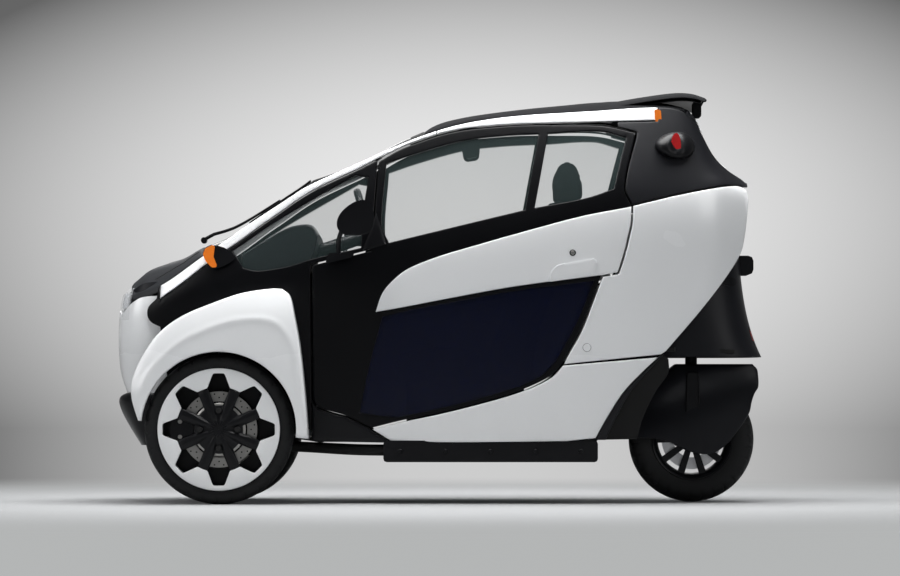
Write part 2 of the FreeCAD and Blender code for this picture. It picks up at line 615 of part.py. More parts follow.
battery_low = up(0.434) - d.rail_height
battery = doc.addObject("Part::Box", "battery_block")
battery.Label = "battery_block"
battery.setExpression("Height", "dimensions.rail_height - dimensions.seat_gap")
battery.setExpression("Width", "1.2 * dimensions.side_half")
battery.setExpression("Length", "dimensions.wheelbase / 3")
battery.Placement.Base = V(along(1.300), -0.6 * d.side_half, battery_low)


# Wheels.
def tyre(radius, width, seat):
    """A road tyre: a round crown and shoulders, hollow to its seat on the rim."""
    half, tall = width / 2, radius - seat
    profile = [(0.00, 0.80), (0.50, 1.00), (1.00, 0.52)]
    section = [V(seat + a * tall, -b * half, 0) for a, b in profile] + [
        V(seat + a * tall, b * half, 0) for a, b in profile[::-1]]
    return Part.Face(Part.makePolygon(section + section[:1])).revolve(V(0, 0, 0), V(0, 1, 0), 360)


def ring(outer, inner, low, high):
    """A round ring or disc across the car, round the Y axis."""
    body = Part.makeCylinder(outer, high - low, V(0, low, 0), V(0, 1, 0))
    if inner > 0:
        body = body.cut(Part.makeCylinder(inner, high - low, V(0, low, 0), V(0, 1, 0)))
    return body


def turned(shape, degrees):
    """A copy turned round the Y axis."""
    copy = shape.copy()
    copy.rotate(V(0, 0, 0), V(0, 1, 0), degrees)
    return copy


SPOKES = 8
front_face = -d.front_tyre_width / 2
rim_seat = d.front_rim_radius * 0.955
white_inner = d.front_rim_radius * 0.695
notch_reach = d.front_rim_radius * 0.915
front_tyre = tyre(d.front_tyre_radius, d.front_tyre_width, d.front_rim_radius - d.rim_wall)
barrel = ring(d.front_rim_radius - d.rim_wall, d.front_rim_radius - 3 * d.rim_wall, front_face, -front_face)
rim_face = ring(d.front_rim_radius, white_inner, front_face - d.rim_wall, front_face)
notch = Part.Face(Part.makePolygon([
    V(notch_reach, front_face - 2 * d.rim_wall, -notch_reach * 0.103),
    V(notch_reach, front_face - 2 * d.rim_wall, notch_reach * 0.103),
    V(white_inner * 0.90, front_face - 2 * d.rim_wall, white_inner * 0.275),
    V(white_inner * 0.90, front_face - 2 * d.rim_wall, -white_inner * 0.275),
    V(notch_reach, front_face - 2 * d.rim_wall, -notch_reach * 0.103),
])).extrude(V(0, 3 * d.rim_wall, 0))
notches = [turned(notch, 360 / SPOKES * k) for k in range(SPOKES)]
front_rim = clean(barrel.fuse(rim_face.cut(notches)))

hub_radius = white_inner * 0.50
hub = ring(hub_radius, 0, front_face - d.rim_wall / 2, front_face + 4 * d.rim_wall)
arm = block(V(hub_radius * 0.8, front_face, -d.tube), V(white_inner + 2 * d.rim_wall, front_face + d.rim_wall, d.tube))
disc = ring(white_inner * 0.90, hub_radius * 0.5, front_face + 3 * d.rim_wall, front_face + 4 * d.rim_wall)
front_hub = hub.fuse([turned(arm, 360 / SPOKES * (k + 0.5)) for k in range(SPOKES)] + [disc])
front_hub = front_hub.cut(ring(d.axle_radius + d.bearing_gap, 0, front_face + d.rim_wall, front_face + 5 * d.rim_wall))
front_hub = clean(front_hub.cut(front_rim))


def at_front(shape, side):
    """A wheel piece made for the left side, moved to its axle on either side."""
    copy = shape.copy() if side < 0 else mirrored(shape)
    copy.translate(V(front_axle, side * d.front_track_half, d.front_tyre_radius))
    return copy


for side, word in ((-1, "left"), (1, "right")):
    keep("front_tyre_" + word, at_front(front_tyre, side))
    keep("front_rim_" + word, at_front(front_rim, side))
    keep("front_hub_" + word, at_front(front_hub, side))

# Front fender: an outer skin round the wheel, with a lip that reaches in over the tyre.
FENDER_SHARES = [
    (173.6, 1.080), (160.5, 1.230), (150.9, 1.328), (137.9, 1.401), (122.6, 1.509), (108.8, 1.584),
    (95.1, 1.665), (80.9, 1.835), (69.8, 1.999), (65.8, 2.055),
]
FENDER_BACK_SHARES = [(65.8, 2.055), (62.2, 2.022), (56.0, 1.810), (44.6, 1.527), (19.5, 1.226), (-5.9, 1.200)]


def polar(shares, inset):
    """A run round the front axle from (degrees, share of the tyre's radius) pairs."""
    points = []
    for angle, share in shares:
        reach = share * d.front_tyre_radius - inset
        points.append((
            front_axle + reach * math.cos(math.radians(angle)),
            d.front_tyre_radius + reach * math.sin(math.radians(angle)),
        ))
    return points


def fender_body(inset):
    """The fender filled solid, less an inset from its outside."""
    outer_y = -d.fender_half + inset
    grid = []
    for a in (-1.2, -0.7, -0.3, 0.2, 0.6, 1.2):
        line = []
        for v in (0.3, 0.7, 1.0, 1.2, 1.4):
            pinch = 0.10 * max(0.0, -a - 0.2) ** 1.5 + 0.55 * max(0.0, v - 0.9) ** 2
            line.append(V(along(a), outer_y + pinch * d.fender_half, up(v)))
        grid.append(line)
    thick = surface(grid).extrude(V(0, d.fender_half, 0))
    runs = [polar(FENDER_SHARES, inset), polar(FENDER_BACK_SHARES, inset)]
    return thick.common(prism_mm(runs, -d.fender_half - d.overrun, -d.fender_inner))


arch = Part.makeCylinder(
    d.front_tyre_radius + d.arch_gap, 2 * d.fender_half, V(front_axle, -2 * d.fender_half, d.front_tyre_radius), V(0, 1, 0)
)
fender = fender_body(0).cut([arch, fender_body(d.fender_wall)])
fender = largest(clean(fender.cut(front_side)))
both("front_fender", fender)

# Front suspension: two arms, the upright and the stub axle on each side of the front frame.
upright_y = -d.front_track_half + d.front_tyre_width / 2 + d.tube
frame_half = 0.32 * d.side_half
axle_z = d.front_tyre_radius
upright = block(
    V(front_axle - d.tube, upright_y, axle_z - 2.6 * d.tube), V(front_axle + d.tube, upright_y + d.tube, axle_z + 4 * d.tube)
)
hub_end = -d.front_track_half + front_face + d.rim_wall + d.seat_gap
axle = rod(V(front_axle, hub_end, axle_z), V(front_axle, upright_y, axle_z), d.axle_radius)
arms = [
    rod(V(front_axle, upright_y + d.tube / 2, axle_z + drop * d.tube),
        V(front_axle + lean * d.tube * 4, -frame_half, axle_z + (drop - 0.4) * d.tube), d.tube / 3)
    for drop in (-2, 3) for lean in (-1, 1)
]
suspension = upright.fuse([axle] + arms)
front_frame = block(
    V(front_axle - 5.2 * d.tube, -frame_half, axle_z - 3.2 * d.tube),
    V(front_axle + 4.4 * d.tube, frame_half, axle_z + 3.6 * d.tube)
)
knee = V(front_axle, upright_y - d.tube / 4, 2.05 * d.front_tyre_radius)
shoulder = V(front_axle, -d.front_track_half + d.tube, FENDER_SHARES[6][1] * d.front_tyre_radius * 1.6)
stay = rod(V(front_axle, knee.y, axle_z + 3.5 * d.tube), knee, d.tube / 4)
stay = stay.fuse([Part.makeSphere(d.tube / 4, knee), rod(knee, shoulder, d.tube / 4)]).cut(fender)
suspension = largest(clean(suspension.fuse(stay).cut(front_frame)))
both("front_suspension", suspension)
keep("front_frame", front_frame)

# Rear wheel, its fork and its fender, which all turn about the steering shaft above the axle.
rear_tyre = tyre(d.rear_tyre_radius, d.rear_tyre_width, d.rear_rim_radius - d.rim_wall)
rear_half = d.rear_tyre_width / 2
rear_rim = ring(d.rear_rim_radius - d.rim_wall, d.rear_rim_radius - 3 * d.rim_wall, -rear_half * 0.8, rear_half * 0.8)
rear_disc = ring(d.rear_rim_radius - 2 * d.rim_wall, 0, -2 * d.rim_wall, 0)
rear_rim = rear_rim.fuse([
    rear_disc, ring(2 * d.axle_radius, 0, -rear_half * 0.9, rear_half * 0.9)
]).cut(ring(d.axle_radius + d.bearing_gap, 0, -rear_half, rear_half))
for shape, label in ((rear_tyre, "rear_tyre"), (clean(rear_rim), "rear_rim")):
    shape.translate(V(rear_axle, 0, d.rear_tyre_radius))
    keep(label, shape)

leg_y = rear_half + d.swing_gap
legs = [
    block(V(rear_axle - d.tube, side * leg_y - (d.skin * 2 if side < 0 else 0), d.rear_tyre_radius - d.tube),
          V(rear_axle + d.tube, side * leg_y + (0 if side < 0 else d.skin * 2), crown_z + d.skin * 2))
    for side in (-1, 1)
]
crown = block(V(rear_axle - d.tube, -leg_y, crown_z), V(rear_axle + d.tube, leg_y, crown_z + d.skin * 2))
shaft = rod(V(rear_axle, 0, crown_z + d.skin), V(rear_axle, 0, shaft_top), d.steer_shaft_radius)
rear_pin = rod(V(rear_axle, -leg_y, d.rear_tyre_radius), V(rear_axle, leg_y, d.rear_tyre_radius), d.axle_radius)
fork = clean(crown.fuse(legs + [shaft, rear_pin]))
keep("rear_fork", fork)

REAR_FENDER_SHARES = [
    [(2.822, 0.990), (3.860, 0.990)],
    [(3.860, 0.990), (3.935, 0.945), (3.940, 0.830), (3.882, 0.780), (3.839, 0.720), (3.802, 0.639), (3.664, 0.530),
     (3.465, 0.408), (3.266, 0.348), (3.028, 0.353), (2.852, 0.398), (2.651, 0.448), (2.330, 0.464)],
    [(2.330, 0.464), (2.380, 0.600), (2.559, 0.800), (2.740, 0.945), (2.822, 0.990)],
]


def rear_fender_body(inset):
    """The rear fender filled solid, less an inset: its side outline within a round bay."""
    across = rear_half + 3 * d.swing_gap - inset
    bulge = []
    for a in (1.9, 2.3, 2.7, 3.1, 3.5, 4.1):
        line = []
        for v in (0.2, 0.45, 0.7, 0.9, 1.1):
            pinch = 0.18 * abs(a - 3.05) ** 2 + 1.6 * max(0.0, v - 0.72) ** 2 + 0.5 * max(0.0, 0.5 - v) ** 2
            line.append(V(along(a), -across * (1 - pinch), up(v)))
        bulge.append(line)
    half = surface(bulge).extrude(V(0, 2 * across, 0))
    runs = [moved(run) for run in REAR_FENDER_SHARES]
    block_shape = prism_mm(runs, -across, across)
    around = Part.makeCylinder(d.steer_bay_radius - d.swing_gap - inset, d.overall_height, V(rear_axle, 0, 0))
    return half.common(mirrored(half)).common(block_shape).common(around)


outer_fender = rear_fender_body(0)
inner_fender = rear_fender_body(d.fender_wall)
inner_fender.translate(V(0, 0, -d.fender_wall))
wheel_room = ring(d.rear_tyre_radius + d.swing_gap / 2, 0, -rear_half - d.swing_gap, rear_half + d.swing_gap)
wheel_room.translate(V(rear_axle, 0, d.rear_tyre_radius))
rear_fender = largest(clean(outer_fender.cut([inner_fender, fork, wheel_room])))
keep("rear_fender", rear_fender)

# Inside: two seats one behind the other, the dashboard and the hand wheel.
FRONT_SEAT_SHARES = [
    (1.290, 0.900), (1.288, 0.960), (1.320, 1.012), (1.400, 1.032), (1.500, 1.030), (1.580, 1.021), (1.625, 1.060),
    (1.668, 1.140), (1.715, 1.282), (1.760, 1.420), (1.795, 1.530), (1.820, 1.568), (1.850, 1.578), (1.878, 1.560),
    (1.884, 1.520), (1.812, 1.263), (1.765, 1.125), (1.742, 0.880),
]
seat = cut_out(FRONT_SEAT_SHARES, -d.seat_half, d.seat_half)
HEADREST_SHARES = [
    (1.846, 1.595), (1.842, 1.650), (1.850, 1.705), (1.880, 1.735), (1.908, 1.705), (1.920, 1.650), (1.918, 1.595),
]
headrest = cut_out(HEADREST_SHARES, -d.seat_half / 2, d.seat_half / 2)
stalk = block(V(along(1.862), -d.tube, up(1.540)), V(along(1.880), d.tube, up(1.640)))
seat = clean(seat.fuse([headrest, stalk]))
keep("front_seat", seat)
BASE_SHARES = [(1.330, 0.465), (1.330, 0.880), (1.720, 0.870), (1.720, 0.465)]
base = cut_out(BASE_SHARES, -d.seat_half * 0.8, d.seat_half * 0.8)
keep("seat_base", largest(base.cut([seat, floor])))
REAR_SEAT_SHARES = [
    (2.010, 0.960), (2.006, 1.060), (2.030, 1.120), (2.080, 1.145), (2.300, 1.150), (2.470, 1.135), (2.520, 1.140),
    (2.580, 1.220), (2.680, 1.390), (2.760, 1.530), (2.800, 1.592), (2.845, 1.606), (2.885, 1.590), (2.896, 1.550),
    (2.780, 1.250), (2.700, 1.068), (2.540, 1.068), (2.300, 0.960),
]
rear_seat = cut_out(REAR_SEAT_SHARES, -d.seat_half, d.seat_half)
keep("rear_seat", largest(rear_seat.cut(bay)))
DASH_SHARES = [
    (0.225, 1.300), (0.225, 1.390), (0.420, 1.440), (0.714, 1.500), (0.900, 1.512), (0.985, 1.505), (1.020, 1.470),
    (1.000, 1.380), (0.900, 1.330), (0.800, 1.300),
]
dash_ends = steps(0.205, 1.030, 4)
dash_plan = [V(along(a), side * (width_at(a, up(1.320)) - d.wall - d.seat_gap), 0)
             for side, ends in ((-1, dash_ends), (1, dash_ends[::-1])) for a in ends]
dash = cut_out(DASH_SHARES, -d.fender_half, d.fender_half).common(
    Part.Face(Part.makePolygon(dash_plan + dash_plan[:1])).extrude(V(0, 0, d.overall_height)))
dash = largest(clean(dash.cut([floor, windscreen] + pair(front_side))))
keep("dashboard", dash)
column_low = V(along(0.900), 0, up(1.400))
column_high = V(along(1.180), 0, up(1.470))
column = rod(column_low, column_high, d.tube).cut(dash)
keep("steering_column", column)
wheel_axis = (column_high - column_low).normalize()
spin = FreeCAD.Rotation(V(0, 0, 1), wheel_axis)
grip_points = [
    V(d.hand_wheel_radius + d.hand_wheel_grip * math.cos(math.radians(turn)), 0,
      d.hand_wheel_grip * math.sin(math.radians(turn))) for turn in range(0, 361, 45)
]
hand_ring = Part.Face(Part.makePolygon(grip_points)).revolve(V(0, 0, 0), V(0, 0, 1), 360)
spokes = [Part.makeBox(d.hand_wheel_radius, d.tube, d.hand_wheel_grip, V(0, -d.tube / 2, -d.hand_wheel_grip / 2)) for _ in range(3)]
for k, spoke in enumerate(spokes):
    spoke.rotate(V(0, 0, 0), V(0, 0, 1), 90 + 90 * k)
hand_hub = Part.makeCylinder(d.tube * 1.4, d.tube, V(0, 0, -d.tube / 2))
hand_wheel = clean(hand_ring.fuse(spokes + [hand_hub]))
hand_wheel.Placement = FreeCAD.Placement(column_high + wheel_axis * (d.tube / 2 + d.seat_gap), spin)
keep("hand_wheel", hand_wheel)

# Lamps, mirrors and wiper.
indicator_y = -rail_at(-0.100)[1]
indicator = prism([[(-0.150, 1.405), (-0.160, 1.360), (-0.055, 1.350), (0.112, 1.375), (0.060, 1.400)],
                   [(0.060, 1.400), (-0.150, 1.405)]], indicator_y - d.tube, indicator_y + d.tube / 2).cut([rail_shape, front_side])
indicator = largest(indicator)
keep("indicators", Part.makeCompound([indicator, mirrored(indicator)]))
tail_y = -rail_at(2.7)[1]
pod = prism([[(2.496, 1.800), (2.600, 1.835), (2.771, 1.845), (2.900, 1.820), (2.930, 1.785)],
             [(2.930, 1.785), (2.880, 1.750), (2.800, 1.741), (2.600, 1.765), (2.496, 1.800)]],
            tail_y - 2.6 * d.tube, tail_y).cut([rear_upper, rail_shape])
pod = largest(pod)
keep("tail_lamps", Part.makeCompound([pod, mirrored(pod)]))
mirror_y = -1.12 * d.fender_half
mirror = prism([[(1.108, 1.500), (1.100, 1.560), (1.150, 1.575), (1.193, 1.560), (1.190, 1.480)],
                [(1.190, 1.480), (1.108, 1.500)]], mirror_y, mirror_y + 3 * d.tube)
stem = rod(V(along(1.130), mirror_y + 2 * d.tube, up(1.500)), V(along(1.130), -0.845 * d.side_half, up(1.335)), d.tube / 2)
both("mirror", clean(mirror.fuse(stem).cut(door_frame)))
# Wiper: a bent arm that lies along the screen, on its spindle in front of it.
spindle = top_point(-0.193, -0.25, inset)
wiper_points = [
    top_point(-0.193, -0.25, inset, d.tube), top_point(0.000, -0.30, inset, d.tube / 2),
    top_point(0.250, -0.37, inset, d.tube / 2), top_point(0.500, -0.45, inset, d.tube / 2),
    top_point(0.740, -0.52, inset, d.tube / 2), top_point(0.960, -0.60, inset, d.tube / 2),
]
bars = [rod(low, high, d.tube / 5) for low, high in zip(wiper_points, wiper_points[1:])]
knees = [Part.makeSphere(d.tube / 5, point) for point in wiper_points[1:-1]]
wiper = bars[0].fuse(bars[1:] + knees)
foot = Part.makeCylinder(d.tube / 2, 2.2 * d.tube, spindle - V(0, 0, d.tube))
keep("wiper", largest(clean(wiper.fuse(foot).cut([hood, windscreen]))))

doc.recompute()
for piece in doc.Objects:
    if piece is sheet:
        continue
    failed = {"Invalid", "Error"} & set(piece.State)
    if failed or piece.Shape.isNull() or not piece.Shape.isValid():
        raise RuntimeError(f"{piece.Label} did not build: {piece.State}")
    piece.Shape.exportStep(f"parts/{piece.Label}.step")
    print(piece.Label, len(piece.Shape.Solids), "solids", round(piece.Shape.Volume / 1e6, 3), "litres")
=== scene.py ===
"""A narrow enclosed electric car on three wheels, dressed for the studio.

Metres. The nose points to -X, the car's left side to -Y, and Z is up from the floor. The photograph is
taken from the left, so the left side is modelled and the right one is its mirror image.
"""
import math
import bpy
import numpy as np
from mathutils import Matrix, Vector
from mathutils.geometry import delaunay_2d_cdt


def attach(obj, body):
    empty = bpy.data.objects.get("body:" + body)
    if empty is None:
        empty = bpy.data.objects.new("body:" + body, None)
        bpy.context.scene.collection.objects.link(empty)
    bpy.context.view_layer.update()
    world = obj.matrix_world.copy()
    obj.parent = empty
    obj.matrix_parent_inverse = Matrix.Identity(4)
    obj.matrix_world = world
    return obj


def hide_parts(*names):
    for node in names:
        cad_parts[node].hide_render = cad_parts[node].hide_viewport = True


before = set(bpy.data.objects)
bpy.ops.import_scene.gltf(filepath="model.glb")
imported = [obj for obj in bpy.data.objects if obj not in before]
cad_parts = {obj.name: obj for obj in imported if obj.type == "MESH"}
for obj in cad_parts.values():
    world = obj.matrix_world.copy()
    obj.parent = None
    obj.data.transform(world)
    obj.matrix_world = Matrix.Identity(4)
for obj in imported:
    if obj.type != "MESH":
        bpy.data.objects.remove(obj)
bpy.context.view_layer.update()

# The side of the body. The real one is moulded in large plastic panels hung on a steel frame, and all of
# them follow one smooth surface: narrow at the nose, widest at the door's shoulder, drawn in at the tail.
MARKS = (-1.1725, -0.7835, -0.4535, 0.5865, 0.9165, 1.1725)
DECK, TOP, SIDE_HALF = 0.507, 1.490, 0.390
WALL, SKIN, GLASS, SEAM, DOOR_SEAM = 0.042, 0.007, 0.005, 0.005, 0.007
SIDE_LINES = np.array([
    (-0.814, 0.651, 0.385, 0.947, 0.526, 1.115, 0.577, 1.186, 0.569, 1.217, 0.544, 1.242, 0.508),
    (-0.557, 0.592, 0.474, 0.947, 0.615, 1.156, 0.672, 1.227, 0.672, 1.252, 0.646, 1.275, 0.615),
    (-0.158, 0.572, 0.551, 0.986, 0.679, 1.217, 0.749, 1.288, 0.744, 1.337, 0.713, 1.389, 0.662),
    (0.205, 0.562, 0.590, 0.986, 0.705, 1.237, 0.782, 1.320, 0.777, 1.388, 0.744, 1.480, 0.682),
    (0.638, 0.536, 0.636, 0.986, 0.726, 1.247, 0.805, 1.318, 0.808, 1.446, 0.774, 1.575, 0.697),
    (0.962, 0.493, 0.687, 0.986, 0.749, 1.268, 0.826, 1.355, 0.831, 1.502, 0.785, 1.650, 0.705),
    (1.161, 0.438, 0.764, 0.986, 0.815, 1.298, 0.887, 1.397, 0.882, 1.573, 0.815, 1.722, 0.703),
    (1.340, 0.434, 0.800, 0.986, 0.859, 1.329, 0.944, 1.444, 0.923, 1.644, 0.833, 1.815, 0.687),
    (1.532, 0.434, 0.821, 0.986, 0.885, 1.369, 0.979, 1.493, 0.949, 1.695, 0.838, 1.877, 0.672),
    (1.713, 0.438, 0.826, 1.013, 0.897, 1.410, 0.997, 1.539, 0.964, 1.725, 0.833, 1.898, 0.656),
    (1.869, 0.442, 0.821, 1.034, 0.897, 1.440, 1.000, 1.579, 0.964, 1.751, 0.821, 1.909, 0.641),
    (2.041, 0.473, 0.808, 1.064, 0.887, 1.466, 0.990, 1.615, 0.954, 1.776, 0.800, 1.918, 0.626),
    (2.392, 0.592, 0.782, 1.095, 0.867, 1.491, 0.969, 1.624, 0.933, 1.786, 0.777, 1.927, 0.610),
    (2.829, 0.789, 0.731, 1.145, 0.821, 1.512, 0.918, 1.634, 0.879, 1.791, 0.726, 1.925, 0.579),
    (2.995, 0.828, 0.708, 1.156, 0.797, 1.520, 0.892, 1.637, 0.849, 1.768, 0.697, 1.893, 0.554),
    (3.170, 0.864, 0.682, 1.166, 0.774, 1.527, 0.864, 1.641, 0.821, 1.715, 0.697, 1.784, 0.554),
    (3.326, 0.888, 0.654, 1.176, 0.744, 1.532, 0.826, 1.644, 0.785, 1.687, 0.687, 1.727, 0.544),
    (3.736, 0.986, 0.487, 1.217, 0.577, 1.542, 0.641, 1.613, 0.610, 1.636, 0.551, 1.654, 0.462),
])


def along(share):
    """X at a share of the length: -1 nose, 0 front axle, 1 behind it, 2 ahead of the rear wheel, 3 rear
    axle, 4 tail, with straight lines between."""
    return np.interp(share, (-1, 0, 1, 2, 3, 4), MARKS)


def up(share):
    """Z at a share of the height: straight lines from 0 at the floor to 1 at the deck and 2 at the top."""
    share = np.asarray(share, float)
    return np.where(share <= 1, share * DECK, DECK + (share - 1) * (TOP - DECK))


def smooth(places, values, at):
    """Cubic pieces through (place, value) pairs; each slope is that of the line between the neighbours."""
    places, values = np.asarray(places, float), np.asarray(values, float)
    before, after = np.r_[0, :len(places) - 1], np.r_[1:len(places), len(places) - 1]
    slopes = ((values[after] - values[before]).T / (places[after] - places[before])).T
    at = np.clip(at, places[0], places[-1])
    k = np.clip(np.searchsorted(places, at, "right") - 1, 0, len(places) - 2)
    step = places[k + 1] - places[k]
    part = (at - places[k]) / step
    if values.ndim > 1:
        part, step = part[..., None], step[..., None]
    fall = 1 - part
    return (values[k] * fall ** 2 * (1 + 2 * part) + values[k + 1] * part ** 2 * (3 - 2 * part) + step * part * fall *
        (slopes[k] * fall - slopes[k + 1] * part))


def cubic_weights(count, at):
    """Weights of an even cubic spline's control points, held at both ends: de Boor's recursion on arrays."""
    knots = np.r_[[0] * 3, np.arange(count - 2), [count - 3] * 3].astype(float)
    at = np.clip(at, 0, count - 3 - 1e-9)[:, None]
    weights = ((knots[:-1] <= at) & (at < knots[1:])).astype(float)
    for degree in (1, 2, 3):
        low, high = knots[:-degree - 1], knots[degree + 1:]
        rise = np.divide(at - low, knots[degree:-1] - low, where=knots[degree:-1] > low,
            out=np.zeros((len(at), len(low))))
        drop = np.divide(high - at, high - knots[1:-degree], where=high > knots[1:-degree],
            out=np.zeros((len(at), len(low))))
        weights = rise * weights[:, :-1] + drop * weights[:, 1:]
    return weights


def side_table():
    """Half width on an even grid of X and Z: the lines' spline surface, resampled row by row."""
    shares, levels = np.linspace(SIDE_LINES[0, 0], SIDE_LINES[-1, 0], 27), np.linspace(0, 5, 9)
    lines = smooth(SIDE_LINES[:, 0], SIDE_LINES[:, 1:], shares)
    high = up(smooth(range(6), lines[:, 0::2].T, levels).T)
    wide = smooth(range(6), lines[:, 1::2].T, levels).T * SIDE_HALF
    across, upward = cubic_weights(27, np.linspace(0, 24, 700)), cubic_weights(9, np.linspace(0, 6, 260))
    x, high, wide = across @ along(shares), across @ high @ upward.T, across @ wide @ upward.T
    xs, zs = np.linspace(x[0], x[-1], 560), np.linspace(0.18, 1.47, 360)
    rows = np.interp(xs, x, np.arange(len(x)))
    k = np.minimum(rows.astype(int), len(x) - 2)
    blend = (rows - k)[:, None]
    high, wide = [grid[k] * (1 - blend) + grid[k + 1] * blend for grid in (high, wide)]
    low_end, top_end = 2 * high[:, 0] - high[:, 8], 2 * high[:, -1] - high[:, -9]
    high_more = np.c_[low_end, high, top_end]
    wide_more = np.c_[2 * wide[:, 0] - wide[:, 8], wide, 2 * wide[:, -1] - wide[:, -9]]
    table = np.array([np.interp(zs, h, w) for h, w in zip(high_more, wide_more)])
    return xs, zs, table, high[:, -1]


xs, zs, half_widths, rail_highs = side_table()


def half_width(x, z):
    """Half width of the body at X and Z: cubic convolution over the table's sixteen nearest values."""
    def taps(value, grid):
        place = np.clip((value - grid[0]) / (grid[1] - grid[0]), 1, len(grid) - 3 - 1e-6)
        k = place.astype(int)
        t = place - k
        weights = (-t ** 3 + 2 * t ** 2 - t, 3 * t ** 3 - 5 * t ** 2 + 2, -3 * t ** 3 + 4 * t ** 2 + t,
            t ** 3 - t ** 2)
        return k, [w / 2 for w in weights]
    (i, across), (j, upward) = taps(np.asarray(x, float), xs), taps(np.asarray(z, float), zs)
    return sum(a * b * half_widths[i + m - 1, j + n - 1] for m, a in enumerate(across) for n, b in enumerate(upward))


def curve(points, spacing=0.008):
    """A smooth line through points, or a straight one through two: cubic pieces over the chords' length."""
    points = np.asarray(points, float)
    reach = np.r_[0, np.cumsum(np.linalg.norm(np.diff(points, axis=0), axis=1))]
    at = np.linspace(0, reach[-1], max(2, int(reach[-1] / spacing) + 1))
    if len(points) == 2:
        return points[0] + (points[1] - points[0]) * (at / reach[-1])[:, None]
    return smooth(reach, points, at)


def line_of(pairs, spacing=0.008):
    """A smooth line in the side view through (along, up) shares."""
    return curve(np.c_[along([a for a, b in pairs]), up([b for a, b in pairs])], spacing)


def outline(runs):
    """A closed line in the side view, from runs of (along, up) shares, each one smooth."""
    points = np.concatenate([line_of(run) for run in runs])
    ahead = np.roll(points, -1, axis=0)
    return points[np.linalg.norm(ahead - points, axis=1) > 2e-4]


def inside(points, loop):
    """Which points lie inside a closed line: those whose ray to the right crosses it an odd number of times."""
    a, b = loop, np.roll(loop, -1, axis=0)
    x, z = points[:, :1], points[:, 1:]
    crosses = (a[:, 1] > z) != (b[:, 1] > z)
    rise = np.where(b[:, 1] == a[:, 1], 1, b[:, 1] - a[:, 1])
    return (crosses & (x < a[:, 0] + (z - a[:, 1]) * (b[:, 0] - a[:, 0]) / rise)).sum(1) % 2 == 1


def reach_to(points, starts, ends):
    """Shortest distance of each point to a set of straight edges: its foot on each edge, held between the ends."""
    step = ends - starts
    size = np.maximum((step ** 2).sum(1), 1e-12)
    nearest = np.full(len(points), 9.0)
    for chunk in range(0, len(points), 2000):
        some = points[chunk:chunk + 2000, None]
        part = np.clip(((some - starts) * step).sum(2) / size, 0, 1)
        nearest[chunk:chunk + 2000] = np.linalg.norm(some - starts - part[..., None] * step, axis=2).min(1)
    return nearest


def area(loop):
    """Signed area inside a closed line: half the sum of cross products of its points."""
    ahead = np.roll(loop, -1, axis=0)
    return (loop[:, 0] * ahead[:, 1] - ahead[:, 0] * loop[:, 1]).sum() / 2


def outward(loop):
    """Unit normals of a closed line, outwards where it runs anticlockwise."""
    tangent = np.roll(loop, -1, axis=0) - np.roll(loop, 1, axis=0)
    tangent /= np.linalg.norm(tangent, axis=1)[:, None]
    return np.c_[tangent[:, 1], -tangent[:, 0]]


def widened(loop, size):
    """A closed line moved outwards by a size along its own normals."""
    return loop + math.copysign(size, area(loop)) * outward(loop)


def cut(loops, more=()):
    """Triangles over closed lines and loose points, with the lines kept as edges."""
    firsts = np.cumsum([0] + [len(loop) for loop in loops])
    edges = [(first + k, first + (k + 1) % len(loop)) for first, loop in zip(firsts.tolist(), loops)
        for k in range(len(loop))]
    out = delaunay_2d_cdt([Vector(p) for p in np.concatenate([*loops, *more])], edges, [], 0, 1e-6)
    return np.array([tuple(p) for p in out[0]]), np.array(out[2])


def rim_of(triangles):
    """The directed edges that belong to one triangle only."""
    sides = np.concatenate([triangles[:, [0, 1]], triangles[:, [1, 2]], triangles[:, [2, 0]]])
    values, index, counts = np.unique(np.sort(sides, 1) @ (1 << 20, 1), return_index=True, return_counts=True)
    return sides[index[counts == 1]]


def trimmed(loops, kept, spacing):
    """Triangles of the region that `kept` picks between the loops, with even points inside and rows of
    points along its edge. Returns points, triangles, edge loops and each point's distance to the edge."""
    points, triangles = cut(loops)
    triangles = triangles[kept(points[triangles].mean(1))]
    ahead = {int(a): int(b) for a, b in rim_of(triangles)}
    rings = []
    while ahead:
        start, here = next(iter(ahead.items()))
        ring = [start]
        del ahead[start]
        while here != start and here in ahead:
            ring.append(here)
            here = ahead.pop(here)
        rings.append(points[ring])
    rings = [ring for ring in rings if abs(area(ring)) > 1e-4]
    starts, ends = np.concatenate(rings), np.concatenate([np.roll(ring, -1, axis=0) for ring in rings])
    low, high = starts.min(0), starts.max(0)
    even = np.stack(np.meshgrid(np.arange(low[0], high[0], spacing), np.arange(low[1], high[1], spacing * 0.87)), -1)
    even[1::2, :, 0] += spacing / 2
    outer = max(rings, key=lambda ring: abs(area(ring)))

    def within(points, gap=-1):
        in_one = sum(inside(points, ring) for ring in rings) == 1
        return inside(points, outer) & in_one & (reach_to(points, starts, ends) > gap)
    rows = [(np.concatenate([ring - outward(ring) * depth for ring in rings]), depth * 0.8)
        for depth in (0.0008, 0.002, 0.004)]
    points, triangles = cut(rings, [row[within(row, gap)] for row, gap in rows + [(even.reshape(-1, 2), 0.006)]])
    triangles = triangles[within(points[triangles].mean(1))]
    used = np.unique(triangles)
    index = np.full(len(points), -1)
    index[used] = np.arange(len(used))
    points, triangles = points[used], index[triangles]
    return points, triangles, rim_of(triangles), reach_to(points, starts, ends)


def layered(points, triangles, rim, outer, inner):
    """A closed wall over a trimmed region of the side view, between two places across for each point."""
    count = len(points)
    return (np.r_[np.c_[points[:, 0], outer, points[:, 1]], np.c_[points[:, 0], inner, points[:, 1]]],
        [triangles, triangles[:, ::-1] + count, np.c_[rim[:, 1], rim[:, 0], rim[:, 0] + count, rim[:, 1] + count]])


